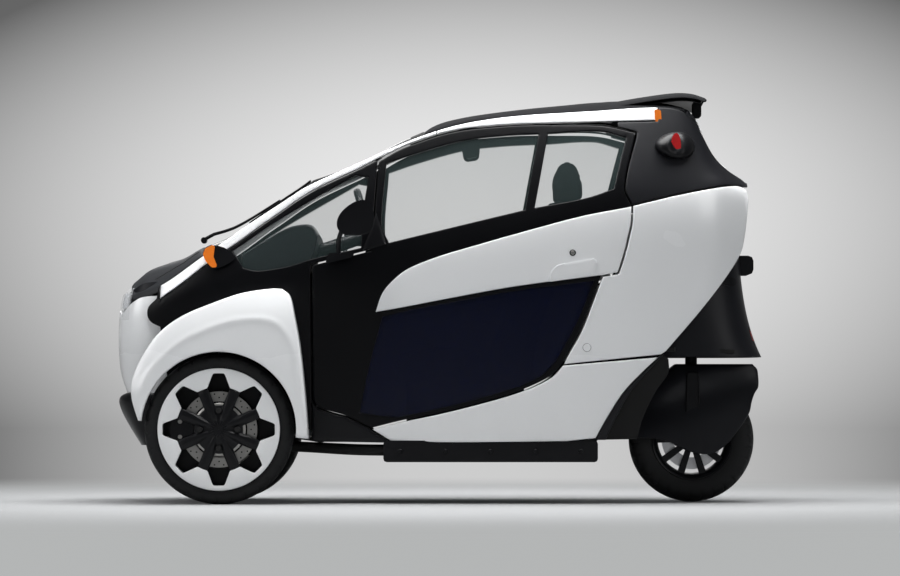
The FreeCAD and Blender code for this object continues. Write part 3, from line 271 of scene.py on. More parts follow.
def volume(points, faces):
    """Signed volume inside closed faces: a sum of thin cones from the origin."""
    total = 0.0
    for block in faces:
        for corners in ([np.asarray(block)] if isinstance(block, np.ndarray) else [np.array([face]) for face in block]):
            for k in range(1, corners.shape[1] - 1):
                a, b, c = points[corners[:, 0]], points[corners[:, k]], points[corners[:, k + 1]]
                total += np.einsum("ij,ij->i", a, np.cross(b, c)).sum()
    return total


def place(name, parts, finish, nodes=(), body="root", angle=35, slot=None):
    """One piece from closed parts, faces outwards and smooth but for edges sharper than the angle. It rides
    on its body and replaces the nodes. A name with {} gives a left piece and its mirror image on the right."""
    for side, word in ((1, "left"), (-1, "right")) if "{}" in name else ((1, ""),):
        points, faces, first = [], [], 0
        for part, blocks in parts:
            part = part * (1, side, 1)
            flip = volume(part - part.mean(0), blocks) < 0
            for block in blocks:
                block = block.tolist() if isinstance(block, np.ndarray) else block
                faces += [[k + first for k in (face[::-1] if flip else face)] for face in block]
            points.append(part)
            first += len(part)
        mesh = bpy.data.meshes.new(name.format(word))
        mesh.from_pydata(np.concatenate(points).tolist(), [], faces)
        mesh.shade_smooth()
        mesh.set_sharp_from_angle(angle=math.radians(angle))
        mesh.materials.append(finish.material)
        piece = bpy.data.objects.new(name.format(word), mesh)
        bpy.context.scene.collection.objects.link(piece)
        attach(piece, body.format(word))
        if nodes:
            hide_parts(*[node.format(word) for node in nodes])
    return piece


def panel(name, loops, depth, finish, nodes=(), body="root", kept=None, roll=0.003, spacing=0.010):
    """One moulded panel on each side: the region inside the first loop and outside the others, or the one
    that is kept, on the body's surface between two depths below it. Its outer edge is rolled in on a
    quarter circle, so that depth = roll - sqrt(roll^2 - (roll - reach)^2)."""
    def first_only(points):
        taken = [in_door_gap(points) if loop is door_gap_loop else inside(points, loop) for loop in loops[1:]]
        return inside(points, loops[0]) & (sum(taken) == 0)
    points, triangles, rim, reach = trimmed(loops, kept or first_only, spacing)
    rolled = np.maximum(roll - reach, 0)
    half = half_width(*points.T)
    outer = half - depth[0] - (roll - np.sqrt(roll ** 2 - rolled ** 2))
    place(name, [layered(points, triangles, rim, -outer, depth[1] - half)], finish, nodes, body)


class Shade:
    """A number in a material's node tree, with the sums that are used on it."""

    def __init__(self, finish, socket):
        self.finish, self.socket = finish, socket

    def sum(self, operation, *values):
        return self.finish.node("ShaderNodeMath", {"operation": operation}, dict(enumerate(values)))

    def __add__(self, other): return self.sum("ADD", self, other)
    def __radd__(self, other): return self.sum("ADD", other, self)
    def __sub__(self, other): return self.sum("SUBTRACT", self, other)
    def __rsub__(self, other): return self.sum("SUBTRACT", other, self)
    def __mul__(self, other): return self.sum("MULTIPLY", self, other)
    def __rmul__(self, other): return self.sum("MULTIPLY", other, self)
    def __truediv__(self, other): return self.sum("DIVIDE", self, other)
    def __rtruediv__(self, other): return self.sum("DIVIDE", other, self)


class Finish:
    """A material: one principled shader, and nodes that are added by their type, settings and inputs."""

    def __init__(self, name, color, rough, metal=0.0, slot=None, **sockets):
        self.material, self.slot = bpy.data.materials.new(name), slot or name
        self.material.use_nodes = True
        self.tree = self.material.node_tree
        self.shader = self.tree.nodes["Principled BSDF"]
        self.place = self.node("ShaderNodeTexCoord", {}, {}, "Object")
        self.set(**{"Base Color": (*color, 1), "Roughness": rough, "Metallic": metal}, **sockets)

    def node(self, kind, settings, inputs, output=0):
        made = self.tree.nodes.new(kind)
        for key, value in settings.items():
            if key == "stops":
                ramp = made.color_ramp
                for stop, (where, shade) in zip(ramp.elements, value):
                    stop.position, stop.color = where, (*[shade] * 3, 1)
            else:
                setattr(made, key, value)
        for key, value in inputs.items():
            self.join(made.inputs[key], value)
        return Shade(self, made.outputs[output])

    def join(self, socket, value):
        if isinstance(value, Shade):
            self.tree.links.new(value.socket, socket)
        else:
            socket.default_value = value

    def set(self, **sockets):
        for key, value in sockets.items():
            self.join(self.shader.inputs[key], value)

    def noise(self, scale, detail=2.0, rough=0.5):
        """Cloudy values about 0.5 with features of the piece's size over the scale."""
        return self.node("ShaderNodeTexNoise", {}, {"Vector": self.place, "Scale": scale, "Detail": detail,
            "Roughness": rough})

    def axis(self, which):
        """X, Y or Z on the piece, in metres."""
        return self.node("ShaderNodeSeparateXYZ", {}, {"Vector": self.place}, which)

    def mix(self, amount, first, second):
        """From the first colour to the second as the amount goes from 0 to 1."""
        made = self.node("ShaderNodeMix", {"data_type": "RGBA"}, {"Factor": amount}, 2)
        node = made.socket.node
        for socket, value in zip((node.inputs[6], node.inputs[7]), (first, second)):
            self.join(socket, value if isinstance(value, Shade) else (*value, 1))
        return made

    def bump(self, height, distance, strength=1.0):
        self.set(Normal=self.node("ShaderNodeBump", {}, {"Height": height, "Distance": distance,
            "Strength": strength}))


def white_paint():
    """Gloss white lacquer over plastic: a faint orange peel, and road dust that thickens towards the sill."""
    finish = Finish("white_paint", (0.80, 0.81, 0.82), 0.30, **{"Coat Weight": 0.7, "Coat Roughness": 0.05})
    low = finish.node("ShaderNodeMapRange", {}, {"Value": finish.axis("Z"), "From Min": 0.55, "From Max": 0.15})
    dust = low * finish.noise(9, 5, 0.65) * 0.20
    finish.set(**{"Base Color": finish.mix(dust, (0.80, 0.81, 0.82), (0.46, 0.44, 0.41)),
        "Roughness": 0.26 + 0.02 * finish.noise(4, 3) + dust * 0.8})
    finish.bump(finish.noise(420, 1), 0.00006)
    return finish


def dark_plastic(name, color, rough, grain=900, shine=0.20, slot="dark_plastic"):
    """Moulded plastic with a fine leather-like grain and patches that are polished a little by hands."""
    finish = Finish(name, color, rough, 0, slot, **{"Specular IOR Level": shine})
    worn = finish.noise(6, 4, 0.6)
    finish.set(**{"Base Color": finish.mix(worn, color, tuple(c * 1.35 + 0.002 for c in color)),
        "Roughness": rough - 0.06 + 0.12 * worn})
    finish.bump(finish.noise(grain, 2), 0.00010)
    return finish


def gloss_black():
    """Black lacquer of the side panels: satin gloss, with the faintest unevenness in its shine."""
    finish = Finish("black_paint", (0.0016, 0.0017, 0.0024), 0.32, **{"Specular IOR Level": 0.14})
    finish.set(Roughness=0.30 + 0.08 * finish.noise(5, 4, 0.6))
    finish.bump(finish.noise(380, 1), 0.00005)
    return finish


def glass(name, color, clear, shine=0.5, slot=None):
    """Toughened glass, tinted: it hides more where it is seen at a slant, and carries a trace of dust."""
    finish = Finish(name, color, 0.03, 0, slot, **{"Specular IOR Level": shine})
    slant = finish.node("ShaderNodeLayerWeight", {}, {"Blend": 0.35}, "Facing")
    finish.set(Alpha=(1 - clear) + slant * clear * 0.35, Roughness=0.01 + 0.015 * finish.noise(7, 3))
    finish.material.use_transparent_shadow = True
    return finish


white, black = white_paint(), gloss_black()
trim = dark_plastic("dark_plastic", (0.0052, 0.0055, 0.0072), 0.42)
clear_glass = glass("clear_glass", (0.10, 0.14, 0.14), 0.90)
navy_glass = glass("tinted_glass", (0.0015, 0.0028, 0.0150), 0.15, 0.16)

DOOR = [
    [(1.001, 0.737), (0.996, 1.349)], [(0.996, 1.349), (1.094, 1.373), (1.203, 1.401)],
    [(1.203, 1.401), (1.214, 1.537), (1.227, 1.728)],
    [(1.227, 1.728), (1.299, 1.772), (1.368, 1.800), (1.437, 1.824), (1.506, 1.840), (1.575, 1.849),
     (1.712, 1.860), (1.850, 1.861), (2.004, 1.857), (2.341, 1.832)],
    [(2.341, 1.832), (2.205, 1.628), (2.281, 1.560)],
    [(2.281, 1.560), (2.275, 1.500), (2.246, 1.456), (2.207, 1.399), (2.136, 1.323)],
    [(2.136, 1.323), (1.987, 1.312)],
    [(1.987, 1.312), (1.949, 1.204), (1.917, 1.117), (1.872, 1.031), (1.853, 0.983)],
    [(1.853, 0.983), (1.813, 0.898), (1.711, 0.800), (1.574, 0.716), (1.437, 0.646), (1.300, 0.586), (1.203, 0.536)],
    [(1.203, 0.536), (1.119, 0.618), (1.020, 0.681), (1.001, 0.737)],
]
RAIL_LOW = [
    (-0.564, 1.231), (-0.379, 1.282), (-0.131, 1.357), (0.204, 1.440), (0.422, 1.494), (0.639, 1.544),
    (0.856, 1.595), (1.023, 1.637), (1.161, 1.706), (1.230, 1.744), (1.299, 1.777), (1.368, 1.804),
    (1.437, 1.828), (1.506, 1.844), (1.575, 1.853), (1.712, 1.866), (1.988, 1.875), (2.397, 1.879), (2.571, 1.881),
]
door_loop = outline(DOOR)
door_gap_loop = widened(door_loop, DOOR_SEAM)


def in_door_gap(points):
    """Within the door's opening: inside its outline, or nearer to it than the seam."""
    return inside(points, door_loop) | (reach_to(points, door_loop,
        np.roll(door_loop, -1, axis=0)) < DOOR_SEAM * 0.98)


rail_low = line_of(RAIL_LOW)
rail_top = np.c_[xs, rail_highs]
rail_top = rail_top[(rail_top[:, 0] > rail_low[0, 0] + 0.001) & (rail_top[:, 0] < along(2.590))]


def rail_region(drop, back):
    """The band between the rail's lower edge, lowered by a seam, and the top edge of the side."""
    low = rail_low - (0, drop)
    end = np.array([(along(2.571) + back, up(1.881) - drop), (along(2.590) + back,
        np.interp(along(2.590), xs, rail_highs))])
    return np.concatenate([low, end, rail_top[::-1]])


rail_loop, under_rail = rail_region(0, 0), rail_region(SEAM, SEAM)
for name, low, high in (("front", -2, along(1.424)), ("rear", along(1.424) + 0.003, 2)):
    stretch = np.array([(low, 0), (high, 0), (high, 2), (low, 2)], float)
    panel("roof_rail_{}_" + name, [rail_loop, door_gap_loop, stretch], (0, WALL), white,
        ["roof_rail_{}"] if name == "front" else (), kept=lambda p: inside(p, rail_loop) & ~in_door_gap(p) &
        inside(p, stretch), roll=0.005)

# Front side panel and its fixed window. The panel is one black moulding from the lamp to the door, and
# the small pane is bonded behind its edge.
QUARTER_GLASS = [
    [(0.126, 1.405), (0.640, 1.520), (1.145, 1.679)], [(1.145, 1.679), (1.191, 1.670)],
    [(1.191, 1.670), (1.176, 1.568), (1.166, 1.412)],
    [(1.166, 1.412), (0.992, 1.372), (0.737, 1.346), (0.537, 1.334)],
    [(0.537, 1.334), (0.386, 1.330), (0.245, 1.341)], [(0.245, 1.341), (0.126, 1.405)],
]
FRONT_SIDE = [
    [(-0.562, 1.128), (-0.640, 1.143), (-0.680, 1.165), (-0.675, 1.199), (-0.594, 1.232)],
    [(-0.594, 1.232), (-0.540, 1.400)], [(-0.540, 1.400), (1.300, 1.900)],
    [(1.300, 1.900), (1.300, 0.800)], [(1.300, 0.800), (0.980, 0.800)], [(0.980, 0.800), (0.980, 0.520)],
    [(0.980, 0.520), (0.500, 0.640)], [(0.500, 0.640), (-0.500, 0.880)], [(-0.500, 0.880), (-0.562, 1.128)],
]
top_edge = np.concatenate([np.c_[xs, rail_highs], [(xs[-1], 2.0), (xs[0], 2.0)]])
quarter_loop, front_loop = outline(QUARTER_GLASS), outline(FRONT_SIDE)
panel("front_side_{}_skin", [front_loop, under_rail, door_gap_loop, quarter_loop], (0, WALL), black,
    ["front_side_{}"], kept=lambda p: inside(p, front_loop) & ~inside(p, under_rail) & ~inside(p, top_edge) &
    ~in_door_gap(p) & ~inside(p, quarter_loop))
panel("quarter_glass_{}_pane", [quarter_loop], (SKIN, SKIN + GLASS), clear_glass, roll=0.0008)
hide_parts("quarter_glass")

# Door. Its frame is one black pressing as deep as the wall. A white panel is let into it under the
# windows, and three panes of glass are held behind its edges.
MAIN_GLASS = [
    [(1.252, 1.721), (1.355, 1.758), (1.517, 1.805), (1.661, 1.823), (1.775, 1.829)], [(1.775, 1.829), (1.727, 1.548)],
    [(1.727, 1.548), (1.490, 1.488), (1.262, 1.430)], [(1.262, 1.430), (1.237, 1.497), (1.252, 1.721)],
]
REAR_GLASS = [
    [(1.808, 1.830), (1.986, 1.839), (2.238, 1.815)], [(2.238, 1.815), (2.098, 1.625)],
    [(2.098, 1.625), (1.940, 1.592), (1.760, 1.555)], [(1.760, 1.555), (1.808, 1.830)],
]
LOWER_GLASS = [
    [(1.240, 1.162), (1.301, 1.180), (1.505, 1.221), (1.710, 1.258), (1.962, 1.292)],
    [(1.962, 1.292), (1.930, 1.204), (1.893, 1.117), (1.848, 1.031), (1.826, 0.985)],
    [(1.826, 0.985), (1.780, 0.898), (1.690, 0.815), (1.574, 0.744), (1.437, 0.672), (1.290, 0.608)],
    [(1.290, 0.608), (1.160, 0.640)], [(1.160, 0.640), (1.196, 0.989), (1.240, 1.162)],
]
WHITE_DOOR = [
    [(1.216, 1.180), (1.239, 1.247), (1.272, 1.290), (1.325, 1.334), (1.430, 1.379), (1.560, 1.420),
     (1.710, 1.465), (1.915, 1.523), (2.279, 1.559)],
    [(2.281, 1.560), (2.275, 1.500), (2.246, 1.456), (2.207, 1.399), (2.136, 1.323)],
    [(2.136, 1.323), (1.986, 1.312), (1.710, 1.274), (1.505, 1.236), (1.301, 1.195), (1.216, 1.180)],
]
panes = [outline(MAIN_GLASS), outline(REAR_GLASS), outline(LOWER_GLASS)]
white_loop = outline(WHITE_DOOR)
panel("door_frame_{}_pressing", [door_loop, white_loop] + panes, (0, WALL), black, ["door_frame_{}"], "door_{}")
panel("door_panel_{}_skin", [white_loop, door_loop], (-0.001, WALL * 0.9), white, ["door_panel_{}"], "door_{}",
    kept=lambda p: inside(p, white_loop) & inside(p, door_loop), roll=0.004)
for name, loop, pane in (("main", panes[0], clear_glass), ("rear", panes[1], clear_glass),
        ("lower", panes[2], navy_glass)):
    panel("door_glass_{}_" + name, [loop], (SKIN * 0.6, SKIN + GLASS), pane, ["door_glass_{}"], "door_{}",
        roll=0.0008)

# Sill panel and quarter panel, white, with the wheel bay's edge behind them, and the dark shell above
# the quarter panel. Each is bolted to the frame along its hidden edge.
SEAM_LINE = [(2.612, 1.027), (1.854, 0.982)]
SILL_BACK = [(2.612, 1.027), (2.370, 0.903), (2.202, 0.785), (2.036, 0.617), (1.966, 0.450)]
SILL = [
    [(1.700, 0.980), (1.204, 0.600)], [(1.204, 0.600), (1.203, 0.525)],
    [(1.203, 0.525), (1.240, 0.480), (1.300, 0.400)], [(1.300, 0.400), (1.950, 0.400)],
    [(1.950, 0.400), (1.966, 0.450)], SILL_BACK[::-1], [(2.612, 1.027 - 0.010), (1.854, 0.982 - 0.010)],
]
QUARTER_TOP = [(2.282, 1.560), (2.809, 1.603), (3.309, 1.632), (3.586, 1.641), (3.684, 1.634)]
QUARTER = [
    QUARTER_TOP, [(3.684, 1.634), (3.719, 1.625)],
    [(3.738, 1.590), (3.697, 1.478), (3.635, 1.402), (3.470, 1.328), (3.081, 1.195), (2.665, 1.039)],
    [(2.665, 1.039), (2.612, 1.027)], SEAM_LINE, [(1.854, 0.982), (1.700, 0.980)],
    [(1.700, 0.980), (1.700, 1.200)], [(1.700, 1.200), (2.150, 1.540)], [(2.150, 1.540), (2.282, 1.560)],
]
REAR_UPPER = [
    [(2.150, 1.555), (2.282, 1.566)], [(a, b + 0.006) for a, b in QUARTER_TOP], [(3.684, 1.640), (3.900, 1.640)],
    [(3.900, 1.640), (3.900, 2.050)], [(3.900, 2.050), (2.150, 2.050)], [(2.150, 2.050), (2.150, 1.555)],
]
low_edge = np.concatenate([np.c_[xs, np.interp(xs, along(SIDE_LINES[:, 0]), up(SIDE_LINES[:, 1]))],
    [(2, 0), (-2, 0)]])
sill_loop, quarter_panel_loop, upper_loop = outline(SILL), outline(QUARTER), outline(REAR_UPPER)
end_loop = np.array([(along(3.7355), 0), (3, 0), (3, 3), (along(3.7355), 3)])
panel("sill_panel_{}_skin", [sill_loop, door_gap_loop, low_edge], (0, WALL), white, ["sill_panel_{}"], roll=0.004)
panel("rear_quarter_{}_skin", [quarter_panel_loop, door_gap_loop, end_loop], (0, WALL), white, ["rear_quarter_{}"],
    roll=0.004)
panel("rear_upper_{}_skin", [upper_loop, under_rail, door_gap_loop, top_edge, end_loop], (0, WALL), trim,
    ["rear_upper_{}"])


# Front wheels. Each real one is a black cast wheel with a white ring clipped over it, cut by eight
# notches, and a black star cover in the middle. A drilled brake disc shows through the star's windows.
def quads(rows, columns, around=(False, False)):
    """Faces of a grid of points, counted row by row; either direction may close on itself."""
    i, j = np.arange(rows - (not around[0]))[:, None], np.arange(columns - (not around[1]))
    on, over = (i + 1) % rows, (j + 1) % columns
    return np.stack([i * columns + j, on * columns + j, on * columns + over, i * columns + over], -1).reshape(-1, 4)


def shell(outer, inner, around=False):
    """A closed wall between two grids of the same size; with around, the rows close on themselves."""
    at = np.arange(outer.shape[0] * outer.shape[1]).reshape(outer.shape[:2])
    rings = [at[:, 0], at[::-1, -1]] if around else [np.r_[at[:-1, 0], at[-1, :-1], at[:0:-1, -1], at[0, :0:-1]]]
    faces = quads(*at.shape, (around, False))
    rims = [np.stack([np.roll(r, -1), r, r + at.size, np.roll(r, -1) + at.size], -1) for r in rings]
    return np.r_[outer.reshape(-1, 3), inner.reshape(-1, 3)], [faces, faces[:, ::-1] + at.size, *rims]


def circle_of(count):
    """The angles of even steps round a circle."""
    return np.linspace(0, 2 * math.pi, count, endpoint=False)


def turned(profile, centre, count=96):
    """A closed profile of (radius, across) turned about the wheel's axis: x = r cos(a), z = r sin(a)."""
    a = circle_of(count)[:, None]
    radius, across = np.array(profile, float).T
    grid = np.stack([radius * np.cos(a), across + 0 * a, radius * np.sin(a)], -1) + centre
    return looped(grid)


def looped(grid):
    """A form through rows of points that close on themselves both ways."""
    return grid.reshape(-1, 3), [quads(*grid.shape[:2], (True, True))]


def capped(grid):
    """A closed form through rows of closed loops, with a flat face at each end."""
    count, points = grid.shape[1], grid.reshape(-1, 3)
    ends = [[list(range(count))], [list(range(len(points) - 1, len(points) - 1 - count, -1))]]
    return points, [quads(*grid.shape[:2], (False, True)), *ends]


def prism(loop, low, high, roll=0.002):
    """A side-view outline (x, z) filled between two places across, its edges rolled on a quarter circle."""
    turn = np.linspace(0, math.pi / 2, 4 if roll else 1)
    layers = list(zip(roll * (1 - np.sin(turn)), low + roll * (1 - np.cos(turn)), high - roll * (1 - np.cos(turn))))
    layers = [(inset, near) for inset, near, far in layers] + [(inset, far) for inset, near, far in layers[::-1]]
    lines = [(widened(loop, -inset) if inset > 1e-6 else loop, across) for inset, across in layers]
    return capped(np.array([np.c_[line[:, 0], np.full(len(line), across), line[:, 1]] for line, across in lines]))


def rod(path, radius, sides=16):
    """A round bar along a path of points: circles square to it, turned as little as possible between them."""
    path = np.asarray(path, float)
    radius = np.broadcast_to(radius, len(path))
    step = np.gradient(path, axis=0)
    step /= np.linalg.norm(step, axis=1)[:, None]
    side = np.cross(step[0], (0, 0, 1) if abs(step[0][2]) < 0.9 else (1, 0, 0))
    a = circle_of(sides)[:, None]
    rows = []
    for point, ahead, size in zip(path, step, radius):
        side = side - ahead * side.dot(ahead)
        side /= np.linalg.norm(side)
        rows.append(point + size * (np.cos(a) * side + np.sin(a) * np.cross(ahead, side)))
    return capped(np.array(rows))


def box(low, high, roll=0.0015):
    """A block between two corners with rolled edges."""
    (x0, y0, z0), (x1, y1, z1) = low, high
    return prism(rounded([(x0, z0), (x1, z0), (x1, z1), (x0, z1)], roll, 3), y0, y1, roll)


def rounded(corners, radius, steps=5):
    """A closed outline with each corner rounded by a curve that leaves its sides at the radius' distance."""
    corners = np.asarray(corners, float)
    t = np.linspace(0, 1, steps)[:, None]
    points = []
    for before, at, after in zip(np.roll(corners, 1, axis=0), corners, np.roll(corners, -1, axis=0)):
        size = min(radius, 0.45 * np.linalg.norm(before - at), 0.45 * np.linalg.norm(after - at))
        start = at + (before - at) * size / np.linalg.norm(before - at)
        end = at + (after - at) * size / np.linalg.norm(after - at)
        points.append(start * (1 - t) ** 2 + 2 * at * t * (1 - t) + end * t ** 2)
    return np.concatenate(points)


def tyre(centre, radius, half, bead, count=480):
    """A tyre with slanted grooves over its shoulders: depth = 3.5 mm where the pattern's phase, which slants
    with the distance from the middle, is near a groove, faded out at the middle and on the side wall."""
    tall = radius - bead
    wall = [(-0.06, 0.80), (0.14, 0.93), (0.40, 1.0), (0.62, 0.975), (0.78, 0.87), (0.90, 0.66), (0.965, 0.42),
        (0.992, 0.20), (1.0, 0.0)]
    wall = np.array(wall)
    reach = np.r_[0, np.cumsum(np.linalg.norm(np.diff(wall, axis=0), axis=1))]
    half_line = smooth(reach, wall, np.linspace(0, reach[-1], 23))
    line = np.r_[half_line * (1, -1), half_line[-2::-1]]
    r, y = bead + line[:, 0] * tall, line[:, 1] * half
    inner = np.array([(bead - tall * 0.02, 0.72 * half), (bead + 0.004, 0), (bead - tall * 0.02, -0.72 * half)])
    r, y = np.r_[r, inner[:, 0]], np.r_[y, inner[:, 1]]
    a = circle_of(count)[:, None]
    side = np.sign(y)
    out = np.abs(y) / half
    tread = np.clip((r - bead) / tall, 0, 1)
    band = np.clip((tread - 0.46) / 0.10, 0, 1) * np.clip((out - 0.16) / 0.12, 0, 1)
    phase = (a * 30 / (2 * math.pi) + side * 0.25 + (1 - tread) * 1.1 + (1 - out) * 1.15) % 1
    groove = np.clip((0.10 - np.abs(phase - 0.5)) / 0.035, 0, 1) * band
    fine = (a * 60 / (2 * math.pi) + side * 0.3 + (1 - tread) * 1.8) % 1
    groove = np.maximum(groove, np.clip((0.07 - np.abs(fine - 0.5)) / 0.035, 0, 1) * 0.5 *
        np.clip((tread - 0.50) / 0.1, 0, 1) * np.clip((0.97 - tread) / 0.03, 0, 1) * (out > 0.3))
    centre_groove = np.clip((0.05 - np.abs(out)) / 0.02, 0, 1) * (tread > 0.9)
    lip = 0.0006 * (np.abs(tread - 0.30) < 0.02)
    r = r - 0.0045 * np.maximum(groove, centre_groove) + lip
    grid = np.stack([r * np.cos(a), y + 0 * a, r * np.sin(a)], -1) + centre
    return looped(grid)


def rubber():
    """Tyre rubber: charcoal, a little browner and duller in patches where road dust has settled."""
    finish = Finish("tyre", (0.0055, 0.006, 0.0068), 0.62, **{"Specular IOR Level": 0.22})
    dust = finish.noise(14, 5, 0.7)
    finish.set(**{"Base Color": finish.mix(dust * 0.5, (0.0055, 0.006, 0.0068), (0.018, 0.0175, 0.017)),
        "Roughness": 0.50 + 0.25 * dust})
    finish.bump(finish.noise(260, 3), 0.00015)
    return finish


def steel(name, color, rough):
    """Bare turned metal: its gloss varies in fine patches, with faint stains."""
    finish = Finish(name, color, rough, 1.0)
    finish.set(**{"Base Color": finish.mix(finish.noise(11, 5, 0.7), color, tuple(c * 0.62 for c in color)),
        "Roughness": rough - 0.08 + 0.18 * finish.noise(60, 4, 0.7)})
    return finish


tread_rubber = rubber()
disc_metal = steel("steel", (0.42, 0.41, 0.39), 0.38)
cast_metal = steel("aluminium", (0.70, 0.70, 0.71), 0.42)
# A flat black for dark parts, gaps and seams, and for painted shade where the disc's drilled holes and the reflectors'
# recesses are.
black_and_painted_shade = Finish("black_parts_and_painted_shade", (0.004, 0.004, 0.004), 0.9, 0, "dark_plastic")
satin_black = dark_plastic("dark_cover", (0.0028, 0.0029, 0.0038), 0.36, 500)
WHEEL = np.array((MARKS[1], -0.350, 0.266))
FACE = -0.040
TURN = circle_of(480)


def from_spoke(turn, shift):
    """Angle from the nearest of eight even directions, the first one at the shift."""
    return (turn - shift + math.pi / 8) % (math.pi / 4) - math.pi / 8


def round_grid(near, far, across):
    """Points at mixed distances from the axis and their places across, all round the wheel."""
    shares, insets, places = np.array(across, float).T
    r = near[:, None] * (1 - shares) + far[:, None] * shares + insets
    return np.stack([r * np.cos(TURN)[:, None], places + 0 * r, r * np.sin(TURN)[:, None]], -1)


# The white ring: its inner edge follows the notches, whose straight sides cross each ray at
# r = cross(start, side) / cross(ray, side).
to_notch = np.abs(from_spoke(TURN, 0))
start, end = np.array((0.199, 0.0205)), np.array((0.1505, 0.0385))
side_line = end - start
ray = np.stack([np.cos(to_notch), np.sin(to_notch)], -1)
slanted = (start[0] * side_line[1] - start[1] * side_line[0]) / (ray[:, 0] * side_line[1] - ray[:, 1] * side_line[0])
near = np.where(to_notch < math.atan2(start[1], start[0]), start[0] / ray[:, 0], np.clip(slanted, 0.1515, 0.2))
near = np.where(to_notch > math.atan2(end[1], end[0]), 0.1515, near)
for _ in range(3):
    near = (np.roll(near, 1) + 2 * near + np.roll(near, -1)) / 4
ring_line = [(0, 0, FACE + 0.004), (0, 0, FACE - 0.0035), (0, 0.0008, FACE - 0.0052), (0, 0.0025, FACE - 0.006),
    (0.5, 0, FACE - 0.0066), (1, -0.006, FACE - 0.0062), (1, -0.002, FACE - 0.0052), (1, -0.0006, FACE - 0.0035),
    (1, 0, FACE - 0.0005), (1, -0.002, FACE + 0.004)]
ring = round_grid(near, np.full(len(TURN), 0.2172), ring_line) + WHEEL
place("front_wheel_ring_{}", [looped(ring)], white, body="front_wheel_{}")
barrel = [(0.2110, -0.0385), (0.2166, -0.0395), (0.2166, -0.034), (0.2115, -0.030), (0.205, -0.012), (0.205, 0.012),
    (0.2115, 0.030), (0.2166, 0.034), (0.2166, 0.0395), (0.209, 0.0395), (0.199, 0.012), (0.199, -0.012),
    (0.203, -0.030), (0.203, -0.0385)]
spokes = []
for k in range(8):
    a = math.pi / 8 + k * math.pi / 4
    corners = np.array([(0.060, -0.017), (0.202, -0.012), (0.202, 0.012), (0.060, 0.017)])
    spin = np.array([(math.cos(a), math.sin(a)), (-math.sin(a), math.cos(a))])
    spokes.append(prism(rounded(corners, 0.004) @ spin + WHEEL[[0, 2]], WHEEL[1] - 0.034, WHEEL[1] - 0.020, 0.002))
backing = turned([(0.140, 0.0285), (0.200, 0.0285), (0.200, 0.0320), (0.140, 0.0320)], WHEEL, 96)
place("front_wheel_rim_{}", [turned(barrel, WHEEL, 144), backing] + spokes, satin_black, ["front_rim_{}"],
    "front_wheel_{}")
place("front_tyre_{}_rubber", [tyre(WHEEL, 0.266, 0.0400, 0.2135)], tread_rubber, ["front_tyre_{}"], "front_wheel_{}")

# The star cover's arms have straight sides, so that r = half width / sin(angle) between hub and tip, and
# a low ridge along each arm. Its cap in the middle is bare.
to_arm = np.abs(from_spoke(TURN, math.pi / 8))
ARM_HALF, HUB = 0.0195, 0.086
arm = np.clip(ARM_HALF / np.maximum(np.sin(to_arm), 1e-6), HUB, 0.1495)
for _ in range(2):
    arm = (np.roll(arm, 1) + 2 * arm + np.roll(arm, -1)) / 4
star_line = [(0, 0, -0.030), (0, 0, -0.0500), (0.10, 0, -0.0506), (0.19, 0, -0.0508), (0.20, 0, -0.0500),
    (0.215, 0, -0.0500), (0.225, 0, -0.0510), (0.30, 0, -0.0508), (0.45, 0, -0.0485), (0.60, 0, -0.0455),
    (0.75, 0, -0.0430), (0.88, 0, -0.0415), (0.97, 0, -0.0405), (1, 0, -0.0385), (1, 0, -0.0300)]
star = round_grid(np.full(len(TURN), 0.0004), np.maximum(arm, HUB), star_line)
radius = np.linalg.norm(star[..., [0, 2]], axis=-1)
off_arm = radius * np.sin(to_arm)[:, None]
ridge = np.clip(1 - off_arm / ARM_HALF, 0, 1) * np.clip((radius - 0.035) / 0.03, 0, 1)
star[..., 1] -= np.where(star[..., 1] < -0.036, 0.0045 * ridge ** 0.8, 0)
star += WHEEL
caps = []
for k in range(4):
    a = k * math.pi / 2
    caps.append(turned([(0.0003, -0.0545), (0.0085, -0.0545), (0.0102, -0.0530), (0.0102, -0.044), (0.0003, -0.044)],
        WHEEL + (0.0668 * math.cos(a), 0, 0.0668 * math.sin(a)), 24))
place("front_wheel_star_{}", [looped(star)], satin_black, ["front_hub_{}"], "front_wheel_{}")
place("front_wheel_lug_caps_{}", caps, black_and_painted_shade, body="front_wheel_{}")

# Brake disc with drilled holes shown in painted shade, on a bright carrier, and the caliper that holds still in front
# of it.
disc = [(0.100, -0.019), (0.1352, -0.019), (0.1352, -0.012), (0.100, -0.012)]
carrier = [(0.030, -0.024), (0.088, -0.022), (0.094, -0.018), (0.094, -0.012), (0.030, -0.012)]
place("front_brake_disc_{}", [turned(disc, WHEEL, 144), turned(carrier, WHEEL, 96)], disc_metal,
    body="front_wheel_{}")
# The holes are not cut through the disc: a flat black disc at each one is painted shade where the hole is.
tabs, holes = [], []
for k in range(24):
    a = (k + 0.5) * math.pi / 12
    out = np.array((math.cos(a), 0, math.sin(a)))
    for r, shift in ((0.1265, 0.0), (0.1135, 0.5)):
        b = a + shift * math.pi / 12
        holes.append(turned([(0.0002, -0.0196), (0.0028, -0.0196), (0.0028, -0.018), (0.0002, -0.018)],
            WHEEL + (r * math.cos(b), 0, r * math.sin(b)), 12))
    if k % 3 == 1:
        spin = np.array([(out[0], out[2]), (-out[2], out[0])])
        slot = rounded([(0.0945, -0.015), (0.1035, -0.0185), (0.1035, 0.0185), (0.0945, 0.015)], 0.003, 4)
        tabs.append(prism(slot @ spin + WHEEL[[0, 2]], WHEEL[1] - 0.0225, WHEEL[1] - 0.018, 0.0008))
place("front_disc_painted_hole_shade_{}", holes, black_and_painted_shade, body="front_wheel_{}", slot="steel")
place("front_disc_carrier_{}", tabs, cast_metal, body="front_wheel_{}")
calliper = rounded([(-0.158, 0.050), (-0.098, 0.046), (-0.094, 0.0), (-0.098, -0.044), (-0.160, -0.052),
    (-0.170, 0.0)], 0.012)
